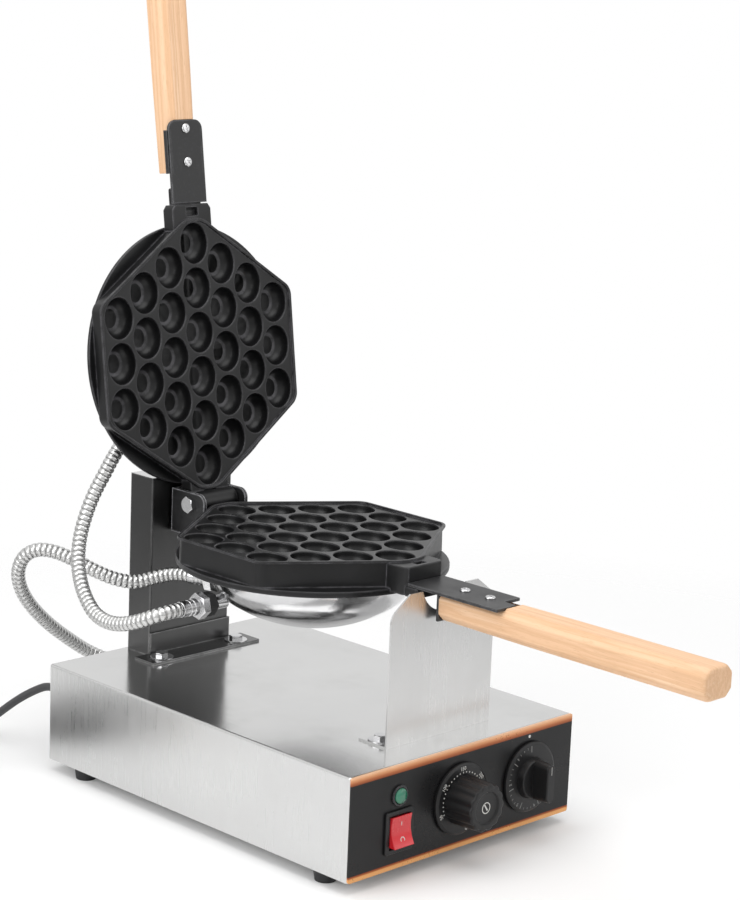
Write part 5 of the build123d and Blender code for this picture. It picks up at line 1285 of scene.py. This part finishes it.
# %% [markdown]
# ## Floor, background and light
# A product picture on white: a pale floor that keeps a soft shadow, and a background that the
# camera and shiny metal see as white, while the light that falls on the machine comes from soft
# boxes. Polished steel shows whatever stands around it, so the background is a little darker
# near the floor for reflections. That gives the bowls and the box their soft bands.

# %% Studio
def soft_box(name, place, aim, width, height, power):
    """A rectangular studio light at a place of the drawing, aimed at another."""
    data = bpy.data.lights.new(name, "AREA")
    data.shape = "RECTANGLE"
    data.size, data.size_y, data.energy = width, height, power
    light = linked(name, data)
    facing = (at(*aim) - at(*place)).to_track_quat("-Z", "Y")
    light.matrix_world = Matrix.Translation(at(*place)) @ facing.to_matrix().to_4x4()
    return light


lights = [
    soft_box("top_softbox", (-150, -100, 1500), (0, 0, 120), 1.4, 1.2, 10),
    soft_box("left_softbox", (-1600, 100, 800), (0, 0, 160), 1.1, 1.3, 11),
    soft_box("front_softbox", (900, -1600, 900), (0, 0, 120), 1.3, 1.0, 3.5),
]
floor_mesh = bpy.data.meshes.new("studio_floor")
floor_grid = bmesh.new()
bmesh.ops.create_grid(floor_grid, x_segments=1, y_segments=1, size=9.0)
floor_grid.to_mesh(floor_mesh)
floor_grid.free()
studio_floor = linked("studio_floor", floor_mesh)
print("lights:", len(lights))

# %% [markdown]
# ## A short way to wire nodes
# Every finish below is a small net of shader nodes. One function adds a node, sets its values
# and wires its inputs, so that a finish reads as a list of what it does. Colours are written as
# they are seen on a screen, in hex, and turned into the renderer's linear values.

# %% Wiring helpers
def shade(hex_colour):
    """A screen colour as the renderer's linear colour."""
    channels = [int(hex_colour[i : i + 2], 16) / 255 for i in (0, 2, 4)]
    linear = [c / 12.92 if c <= 0.04045 else ((c + 0.055) / 1.055) ** 2.4 for c in channels]
    return (*linear, 1.0)


def node(tree, kind, inputs=None, **settings):
    """A shader node with its settings; an input is a value, a hex colour or another output."""
    new = tree.nodes.new(kind)
    for name, value in settings.items():
        setattr(new, name, value)
    for name, value in (inputs or {}).items():
        if isinstance(value, bpy.types.NodeSocket):
            tree.links.new(value, new.inputs[name])
        else:
            new.inputs[name].default_value = shade(value) if isinstance(value, str) else value
    return new


def ramp(tree, factor, *stops):
    """A colour ramp of positions with greys or hex colours."""
    new = node(tree, "ShaderNodeValToRGB", {"Fac": factor})
    elements = new.color_ramp.elements
    for count, (position, value) in enumerate(stops):
        element = elements[count] if count < 2 else elements.new(position)
        element.position = position
        element.color = shade(value) if isinstance(value, str) else (value, value, value, 1)
    return new.outputs["Color"]


def between(tree, factor, low, high):
    """A value that goes from low to high over the middle of a noise."""
    return ramp(tree, factor, (0.3, low), (0.7, high))


def arithmetic(operation):
    """A function that adds one kind of math node."""
    def wired(tree, *values):
        inputs = dict(enumerate(values))
        return node(tree, "ShaderNodeMath", inputs, operation=operation).outputs[0]

    return wired


times, plus, largest, over, unsigned = (
    arithmetic(kind) for kind in ("MULTIPLY", "ADD", "MAXIMUM", "GREATER_THAN", "ABSOLUTE")
)


def mixed(tree, factor, first, second):
    """One colour over another by a factor."""
    inputs = {0: factor, 6: first, 7: second}
    return node(tree, "ShaderNodeMix", inputs, data_type="RGBA").outputs[2]


def object_place(tree):
    """The place on the piece, in metres."""
    return node(tree, "ShaderNodeTexCoord").outputs["Object"]


def stretched(tree, vector, scale):
    """Coordinates stretched along their axes."""
    return node(tree, "ShaderNodeMapping", {"Vector": vector, "Scale": scale}).outputs["Vector"]


def noise(tree, scale, detail=3.0, rough=0.5, stretch=(1, 1, 1), vector=None):
    """A noise value, on the piece's own coordinates unless it is given others."""
    vector = vector or stretched(tree, object_place(tree), stretch)
    return node(
        tree, "ShaderNodeTexNoise",
        {"Vector": vector, "Scale": scale, "Detail": detail, "Roughness": rough},
    ).outputs["Fac"]


def z_of(tree, vector):
    """The upright part of a vector."""
    return node(tree, "ShaderNodeSeparateXYZ", {"Vector": vector}).outputs["Z"]


def facing_up(tree):
    """How much the surface looks up."""
    return z_of(tree, node(tree, "ShaderNodeNewGeometry").outputs["Normal"])


world = bpy.data.worlds.new("white_studio")
bpy.context.scene.world = world
world.use_nodes = True
world.node_tree.nodes.clear()
sky = world.node_tree
height = z_of(sky, node(sky, "ShaderNodeTexCoord").outputs["Generated"])
mirror_white = ramp(sky, height, (0.0, 0.60), (0.10, 0.72), (0.28, 0.95), (1.0, 0.85))
rays = node(sky, "ShaderNodeLightPath").outputs
falling, mirrored, white = (
    node(sky, "ShaderNodeBackground", {"Color": colour, "Strength": strength}).outputs[0]
    for colour, strength in (("FFFFFF", 0.70), (mirror_white, 1.0), ("FFFFFF", 1.0))
)
seen_or_through = largest(sky, rays["Is Camera Ray"], rays["Is Transmission Ray"])
on_metal = node(sky, "ShaderNodeMixShader", {0: rays["Is Glossy Ray"], 1: falling, 2: mirrored})
whole_sky = node(
    sky, "ShaderNodeMixShader", {0: seen_or_through, 1: on_metal.outputs[0], 2: white}
)
node(sky, "ShaderNodeOutputWorld", {"Surface": whole_sky.outputs[0]})
print("world is white")

# %% [markdown]
# ## Effects that finishes share
# Metal that is used shows the same few things: edges rubbed bright, a brushed grain, soft
# finger marks, and dust where nobody wipes. A painted highlight runs along the bright edges too.
# Each of these is one node group that gives a mask, a roughness or a height. The finishes below
# decide what to do with it, so wear looks alike everywhere, as it does on one machine that has
# stood in one kitchen.

# %% Shared node groups
def group(name, outputs, inputs=()):
    """An empty node group with its sockets."""
    tree = bpy.data.node_groups.new(name, "ShaderNodeTree")
    for label, value in inputs:
        socket = tree.interface.new_socket(label, in_out="INPUT", socket_type="NodeSocketFloat")
        socket.default_value = value
    for label in outputs:
        tree.interface.new_socket(label, in_out="OUTPUT", socket_type="NodeSocketFloat")
    return tree, tree.nodes.new("NodeGroupInput").outputs, tree.nodes.new("NodeGroupOutput")


def give(tree, end, **values):
    """Wire values to a group's outputs, or to a shader's inputs."""
    for label, value in values.items():
        tree.links.new(value, end.inputs[label.replace("_", " ")])


def use(tree, name, **inputs):
    """The outputs of a group in use, with its inputs."""
    new = node(tree, "ShaderNodeGroup", node_tree=bpy.data.node_groups[name])
    for label, value in inputs.items():
        new.inputs[label].default_value = value
    return new.outputs


# edges lighter all round: rubbed wear in patches, and a painted highlight that keeps at least a
# quarter of its brightness all along an edge
edges, given, end = group("rubbed_and_highlit_edges", ["Mask"], [("Width", 0.0012), ("Amount", 1.0)])
rounded = node(edges, "ShaderNodeBevel", {"Radius": given["Width"]}, samples=4)
flat_normal = node(edges, "ShaderNodeNewGeometry")
agreement = node(
    edges, "ShaderNodeVectorMath",
    {0: rounded.outputs["Normal"], 1: flat_normal.outputs["Normal"]}, operation="DOT_PRODUCT",
).outputs["Value"]
edge = ramp(edges, agreement, (0.86, 1.0), (0.995, 0.0))
patches = ramp(edges, noise(edges, 85, 6, 0.62), (0.38, 0.25), (0.58, 1.0))
give(edges, end, Mask=times(edges, times(edges, edge, patches), given["Amount"]))

grain, _, end = group("brushed_grain", ["Roughness", "Height"])
is_level = over(grain, unsigned(grain, facing_up(grain)), 0.7)
upright_lines = noise(grain, 1.0, 3, 0.6, (1100, 1100, 9))
level_lines = noise(grain, 1.0, 3, 0.6, (1100, 9, 1100))
lines = mixed(grain, is_level, upright_lines, level_lines)
side_rough, level_rough = between(grain, lines, 0.25, 0.33), between(grain, lines, 0.13, 0.18)
give(grain, end, Roughness=mixed(grain, is_level, side_rough, level_rough), Height=lines)

marks, _, end = group("finger_marks", ["Mask"])
smear = ramp(marks, noise(marks, 16, 5, 0.65), (0.46, 0.0), (0.68, 1.0))
streak = between(marks, noise(marks, 1.0, 4, 0.6, (60, 60, 9)), 0.4, 1.0)
give(marks, end, Mask=times(marks, smear, streak))

dust, _, end = group("settled_dust", ["Mask"])
specks = ramp(dust, noise(dust, 1500, 2, 0.5), (0.60, 0.0), (0.74, 1.0))
film = ramp(dust, noise(dust, 22, 5, 0.6), (0.35, 0.15), (0.75, 0.6))
settled = times(dust, ramp(dust, facing_up(dust), (0.3, 0.0), (0.95, 1.0)), film)
give(dust, end, Mask=times(dust, settled, specks))

cast, _, end = group("cast_skin", ["Height", "Mottle"])
pebbles = node(
    cast, "ShaderNodeTexVoronoi", {"Vector": object_place(cast), "Scale": 900},
    feature="SMOOTH_F1",
).outputs["Distance"]
swell = noise(cast, 260, 4, 0.55)
give(
    cast, end, Height=plus(cast, times(cast, pebbles, 0.45), times(cast, swell, 0.8)),
    Mottle=between(cast, noise(cast, 34, 5, 0.6), 0.0, 1.0),
)
print("shared groups:", len(bpy.data.node_groups))

# %% [markdown]
# ## The finishes
# Now each material says what it is made of. Steel is a metal whose roughness changes with its
# grain. Painted and cast parts are dull dark colours that are worn at their edges, where a painted
# highlight runs as well. Wood is drawn from stretched noise. Wherever a finish has one plain value,
# that value stands on the shader itself, and only what changes over the surface comes from nodes.

# %% Making a material
finishes = {}


def finish(name, colour, roughness, metallic=0.0, **plain):
    """A material with its shader's plain values set."""
    material = bpy.data.materials.new(name)
    material.use_nodes = True
    tree = material.node_tree
    tree.nodes.clear()
    plain.update(Base_Color=colour, Roughness=roughness, Metallic=metallic)
    values = {label.replace("_", " "): value for label, value in plain.items()}
    shader = node(tree, "ShaderNodeBsdfPrincipled", values)
    node(tree, "ShaderNodeOutputMaterial", {"Surface": shader.outputs[0]})
    material.diffuse_color = shade(colour)
    finishes[name] = material
    return tree, shader


def bump(tree, shader, height, strength, distance):
    """Small relief on a shader's normal."""
    values = {"Height": height, "Strength": strength, "Distance": distance}
    give(tree, shader, Normal=node(tree, "ShaderNodeBump", values).outputs["Normal"])


# sheet steel: brushed upright, with soft finger marks
tree, shader = finish("stainless_sheet", "D6D6D6", 0.26, 1.0)
brushed = use(tree, "brushed_grain")
touched = use(tree, "finger_marks")["Mask"]
steel = mixed(tree, noise(tree, 9, 3, 0.5, (1, 1, 0.35)), "CECECE", "D8D8D7")
give(
    tree, shader, Base_Color=mixed(tree, times(tree, touched, 0.25), steel, "C8C7C5"),
    Roughness=plus(tree, brushed["Roughness"], times(tree, touched, 0.08)),
)
bump(tree, shader, brushed["Height"], 0.03, 0.00006)

# the column: the same sheet, coloured dark as painted shade and a painted reflection of the dark
# moulds, darker still towards the top; its upturned cap keeps the bright steel colour
tree, shader = finish("column_sheet", "585858", 0.24, 1.0)
brushed = use(tree, "brushed_grain")
rise = z_of(tree, object_place(tree))
cap = times(tree, over(tree, facing_up(tree), 0.7), over(tree, rise, 0.2))
# painted shade: the sides grow darker towards the top, where the moulds' shade and reflection fall
painted_shade_grey = ramp(tree, times(tree, rise, 4.0), (0.35, "626262"), (0.85, "4E4E4E"))
# lighter edges: wear, and a painted highlight along them
worn_and_highlit = use(tree, "rubbed_and_highlit_edges", Width=0.0018, Amount=0.8)["Mask"]
give(
    tree, shader,
    Base_Color=mixed(tree, cap, mixed(tree, worn_and_highlit, painted_shade_grey, "B8B8B8"), "E0E0E0"),
    Roughness=plus(tree, brushed["Roughness"], 0.08),
)
bump(tree, shader, brushed["Height"], 0.04, 0.00006)

# bowls, bolts and fittings: bright steel, a little hazed where it was wiped and touched
tree, shader = finish("polished_steel", "D2D2D2", 0.16, 1.0)
rubbed = noise(tree, 70, 5, 0.6)
touched = use(tree, "finger_marks")["Mask"]
give(
    tree, shader, Base_Color=mixed(tree, rubbed, "C4C4C6", "DBDBDB"),
    Roughness=plus(tree, between(tree, rubbed, 0.12, 0.22), times(tree, touched, 0.10)),
)
bump(tree, shader, noise(tree, 1800, 2, 0.5), 0.05, 0.00005)

# ribbed hose: bright ribs, coloured darker down in the grooves
tree, shader = finish("conduit_steel", "B9B9B7", 0.28, 1.0)
deep = node(tree, "ShaderNodeAttribute", attribute_name="groove").outputs["Fac"]
# the grooves are coloured darker and made rougher than the ribs
groove_darkening = times(tree, ramp(tree, deep, (0.15, 0.0), (0.9, 1.0)), 0.5)
spots = noise(tree, 300, 4, 0.6)
give(
    tree, shader,
    Base_Color=mixed(tree, groove_darkening, mixed(tree, spots, "C4C4C3", "DEDEDD"), "4A4947"),
    Roughness=plus(tree, between(tree, spots, 0.22, 0.34), times(tree, groove_darkening, 0.3)),
)

# cast moulds: dark non-stick coating on a cast skin, lighter at its edges, where it is rubbed and
# where a painted highlight runs along them
tree, shader = finish("mould_coating", "131314", 0.34, Specular_IOR_Level=0.38)
skin = use(tree, "cast_skin")
worn_and_highlit = use(tree, "rubbed_and_highlit_edges", Width=0.0022, Amount=0.5)["Mask"]
give(
    tree, shader,
    Base_Color=mixed(tree, worn_and_highlit, mixed(tree, skin["Mottle"], "0F0F10", "19191A"), "77767A"),
    Roughness=ramp(tree, skin["Mottle"], (0.0, 0.29), (1.0, 0.37)),
)
bump(tree, shader, skin["Height"], 0.20, 0.00018)

# strips and bracket: blackened steel, rubbed bright at its edges, with a painted highlight along
# them, strongest on the bracket
for label, wear_and_highlight_amount in (("black_steel", 0.3), ("bracket_steel", 1.0)):
    tree, shader = finish(label, "1C1C1D", 0.36)
    worn_and_highlit = use(tree, "rubbed_and_highlit_edges", Width=0.0022, Amount=wear_and_highlight_amount)["Mask"]
    skin = use(tree, "cast_skin")
    scuffs = ramp(tree, noise(tree, 420, 4, 0.6, (1, 0.12, 1)), (0.55, 0.0), (0.75, 0.5))
    enamel = mixed(tree, scuffs, mixed(tree, skin["Mottle"], "161617", "232324"), "363638")
    give(
        tree, shader, Base_Color=mixed(tree, worn_and_highlit, enamel, "B4B4B8"),
        Roughness=ramp(tree, skin["Mottle"], (0.0, 0.34), (1.0, 0.48)),
    )
    bump(tree, shader, skin["Height"], 0.12, 0.0001)

# fascia: printed sheet, black with a copper band above and below, each band pale at its outer edge
# and darker towards the black as a painted highlight; a tenth of a metre is 1
tree, shader = finish("fascia_black", "1E1E1F", 0.30, Specular_IOR_Level=0.25)
share = times(tree, z_of(tree, object_place(tree)), 10.0)
# the copper bands are print; their shading from pale to dark is a painted highlight
bands = ramp(
    tree, share, (0.0, "F0C090"), (0.130, "E7A868"), (0.139, "A8562A"), (0.150, "8A3E1C"),
    (0.1515, "171718"), (0.8655, "171718"), (0.867, "8F4A2A"), (0.885, "B56A41"),
    (0.905, "DE9C6C"), (0.925, "F0C09A"),
)
in_band = ramp(tree, share, (0.1515, 1.0), (0.1525, 0.0), (0.8655, 0.0), (0.8665, 1.0))
satin = noise(tree, 700, 3, 0.5)
touched = use(tree, "finger_marks")["Mask"]
give(
    tree, shader, Base_Color=mixed(tree, times(tree, satin, 0.12), bands, "3A3A3B"),
    Roughness=plus(tree, between(tree, satin, 0.26, 0.34), times(tree, touched, 0.14)),
    Metallic=times(tree, in_band, 0.35),
)
bump(tree, shader, satin, 0.10, 0.00006)

# knobs and switch frame: moulded black plastic with a fine spark-eroded texture
tree, shader = finish("knob_black", "1B1B1C", 0.40, Specular_IOR_Level=0.35)
pits = noise(tree, 1900, 3, 0.5)
touched = use(tree, "finger_marks")["Mask"]
# lighter rims: a little wear, and a painted highlight along them
worn_and_highlit = use(tree, "rubbed_and_highlit_edges", Width=0.0006, Amount=0.35)["Mask"]
give(
    tree, shader,
    Base_Color=mixed(tree, worn_and_highlit, mixed(tree, touched, "171718", "202021"), "434345"),
    Roughness=plus(tree, between(tree, pits, 0.36, 0.46), times(tree, touched, -0.08)),
)
bump(tree, shader, pits, 0.22, 0.00008)

# red rocker: glossy plastic with a little depth
tree, shader = finish("switch_red", "D3202A", 0.22, Coat_Weight=0.4, Coat_Roughness=0.1)
touched = use(tree, "finger_marks")["Mask"]
give(
    tree, shader, Base_Color=mixed(tree, touched, "D3202A", "C21C27"),
    Roughness=ramp(tree, touched, (0.0, 0.20), (1.0, 0.34)),
)
bump(tree, shader, noise(tree, 900, 2, 0.5), 0.04, 0.00005)

# the lamp: a dull chromed ring, and a green lens with painted shade towards its edge, where its
# surface turns away from the view
tree, shader = finish("lamp_chrome", "3A3A3C", 0.25, 0.6)
give(tree, shader, Roughness=between(tree, noise(tree, 600, 3, 0.5), 0.18, 0.32))
tree, shader = finish(
    "lamp_green", "1F7A58", 0.12, Transmission_Weight=0.15, Coat_Weight=0.5,
    Coat_Roughness=0.05,
)
# painted shade: the lens darkens where it is seen at a glancing angle
depth = node(tree, "ShaderNodeLayerWeight", {"Blend": 0.35}).outputs["Facing"]
give(
    tree, shader, Base_Color=mixed(tree, depth, "35876A", "12503C"),
    Roughness=between(tree, noise(tree, 500, 3, 0.5), 0.08, 0.16),
)

# beech: pale wood, its growth lines along the grip
tree, shader = finish("beech", "E3BC94", 0.5, Specular_IOR_Level=0.35)
kept_place = node(tree, "ShaderNodeAttribute", attribute_name="grain_place").outputs["Vector"]
sway = noise(tree, 1.0, 2, 0.5, vector=stretched(tree, kept_place, (0.05, 0.05, 0.012)))
swayed = node(
    tree, "ShaderNodeVectorMath",
    {0: stretched(tree, kept_place, (0.34, 0.20, 0.0045)), 1: sway}, operation="ADD",
).outputs["Vector"]
growth = noise(tree, 1.0, 4, 0.55, vector=swayed)
flecks = noise(tree, 1.0, 2, 0.6, vector=stretched(tree, kept_place, (1.6, 1.6, 0.11)))
pores = noise(tree, 1.0, 2, 0.6, vector=stretched(tree, kept_place, (5.5, 5.5, 0.16)))
touched = use(tree, "finger_marks")["Mask"]
wood = ramp(
    tree, growth, (0.30, "F0CAA6"), (0.46, "E9BF99"), (0.56, "E0B48C"), (0.72, "F2CFAE")
)
wood = mixed(tree, ramp(tree, flecks, (0.60, 0.0), (0.70, 0.55)), wood, "CDA27A")
give(
    tree, shader, Base_Color=mixed(tree, times(tree, touched, 0.30), wood, "D8B28C"),
    Roughness=plus(tree, between(tree, pores, 0.46, 0.60), times(tree, touched, -0.10)),
)
bump(tree, shader, pores, 0.25, 0.00012)

# the lead's sheath: chalky rubber with dust on top
tree, shader = finish("cord_rubber", "3C3C3E", 0.48)
chalk = noise(tree, 240, 5, 0.6)
dusty = times(tree, use(tree, "settled_dust")["Mask"], 0.35)
give(
    tree, shader,
    Base_Color=mixed(tree, dusty, mixed(tree, chalk, "343436", "454547"), "8A8884"),
    Roughness=between(tree, chalk, 0.42, 0.56),
)
bump(tree, shader, noise(tree, 1300, 3, 0.5), 0.15, 0.0001)

# metals inside the machine: tarnish over a brushed grain
for label, colour, darker, rough in (
    ("shaft_brass", "D8B268", "B28C4A", 0.28), ("bronze_bush", "B98A50", "8E673A", 0.34),
    ("bell_steel", "C4C4C4", "A2A2A2", 0.30), ("element_steel", "7A746B", "4A4138", 0.45),
):
    tree, shader = finish(label, colour, rough, 1.0)
    tarnish = noise(tree, 150, 5, 0.6)
    give(
        tree, shader, Base_Color=mixed(tree, tarnish, colour, darker),
        Roughness=between(tree, tarnish, rough - 0.06, rough + 0.10),
    )
    bump(tree, shader, use(tree, "brushed_grain")["Height"], 0.08, 0.0001)

# plain finishes in two tones: nuts, feet, tie, ceramic and the ink on dials and panel, each
# with its roughness in the middle and at both ends, its pattern, and the relief's pattern
for label, colour, tones, (rough, smoothest, roughest), pattern, relief in (
    ("nut_black", "1B1B1C", ("171718", "252526"), (0.45, 0.40, 0.52), (1500, 3, 0.5),
     ((1500, 3, 0.5), 0.2, 0.00008)),
    ("foot_rubber", "1D1D1E", ("18181A", "2A2A2C"), (0.65, 0.58, 0.74), (400, 4, 0.6),
     ((1600, 3, 0.5), 0.2, 0.0001)),
    ("tie_plastic", "202022", ("1B1B1D", "2B2B2D"), (0.35, 0.30, 0.42), (900, 3, 0.5),
     ((900, 3, 0.5), 0.15, 0.0001)),
    ("ceramic", "E4DFD2", ("DED8CA", "EAE6DB"), (0.55, 0.50, 0.64), (500, 4, 0.6),
     ((500, 4, 0.6), 0.15, 0.0001)),
    ("ink_white", "E6E6E2", ("E6E6E2", "C2C2BE"), (0.55, 0.50, 0.62), (900, 4, 0.6), None),
    ("ink_grey", "9A9A98", ("9A9A98", "7A7A78"), (0.55, 0.50, 0.62), (900, 4, 0.6), None),
):
    tree, shader = finish(label, colour, rough)
    mottle = noise(tree, *pattern)
    give(
        tree, shader, Base_Color=mixed(tree, mottle, *tones),
        Roughness=between(tree, mottle, smoothest, roughest),
    )
    if relief:
        bump(tree, shader, noise(tree, *relief[0]), *relief[1:])

# the studio floor: paper that fades to nothing, so that no horizon shows
tree, shader = finish("studio_paper", "FAFAFA", 0.9, Specular_IOR_Level=0.1)
away = node(
    tree, "ShaderNodeVectorMath", {0: object_place(tree)}, operation="LENGTH"
).outputs["Value"]
gone = ramp(tree, away, (0.50, 0.0), (0.95, 1.0))
clear = node(tree, "ShaderNodeBsdfTransparent").outputs[0]
paper = node(tree, "ShaderNodeMixShader", {0: gone, 1: shader.outputs[0], 2: clear})
give(tree, tree.nodes["Material Output"], Surface=paper.outputs[0])
print("finishes:", len(finishes))

# %% [markdown]
# ## Painting everything
# The record names a finish for every CAD node, so those keep their nodes and get the matching
# material. The column and the hinge's bracket take their own, as they do in the photograph. The
# new pieces were listed with their slots. Ink is the one exception: it is its own material on a
# piece that takes a control's slot.

# %% Materials on all pieces
# the column's own finish carries painted shade on its sides
own_finish = {
    "rear_column": "column_sheet", "column_back": "column_sheet",
    # the bracket's own finish has the strongest painted highlight along its edges
    "column_foot": "column_sheet", "hinge_bracket": "bracket_steel",
}
for entry in frame["record"]["subparts"]:
    cad_piece = frame["nodes"][entry["node"]]
    cad_piece.data.materials.clear()
    finish_name = own_finish.get(entry["node"], entry["material_slot"])
    cad_piece.data.materials.append(finishes[finish_name])
inked = {
    "thermostat_marks": "ink_white", "timer_marks": "ink_grey", "panel_dot": "ink_white",
    "switch_marks": "ink_white",
}
for made_piece, slot_name in made:
    made_piece.data.materials.append(finishes[inked.get(made_piece.name, slot_name)])
mains_lead.data.materials.append(finishes["cord_rubber"])
studio_floor.data.materials.append(finishes["studio_paper"])
print("painted", len(made), "new pieces and", len(frame["nodes"]), "CAD nodes")
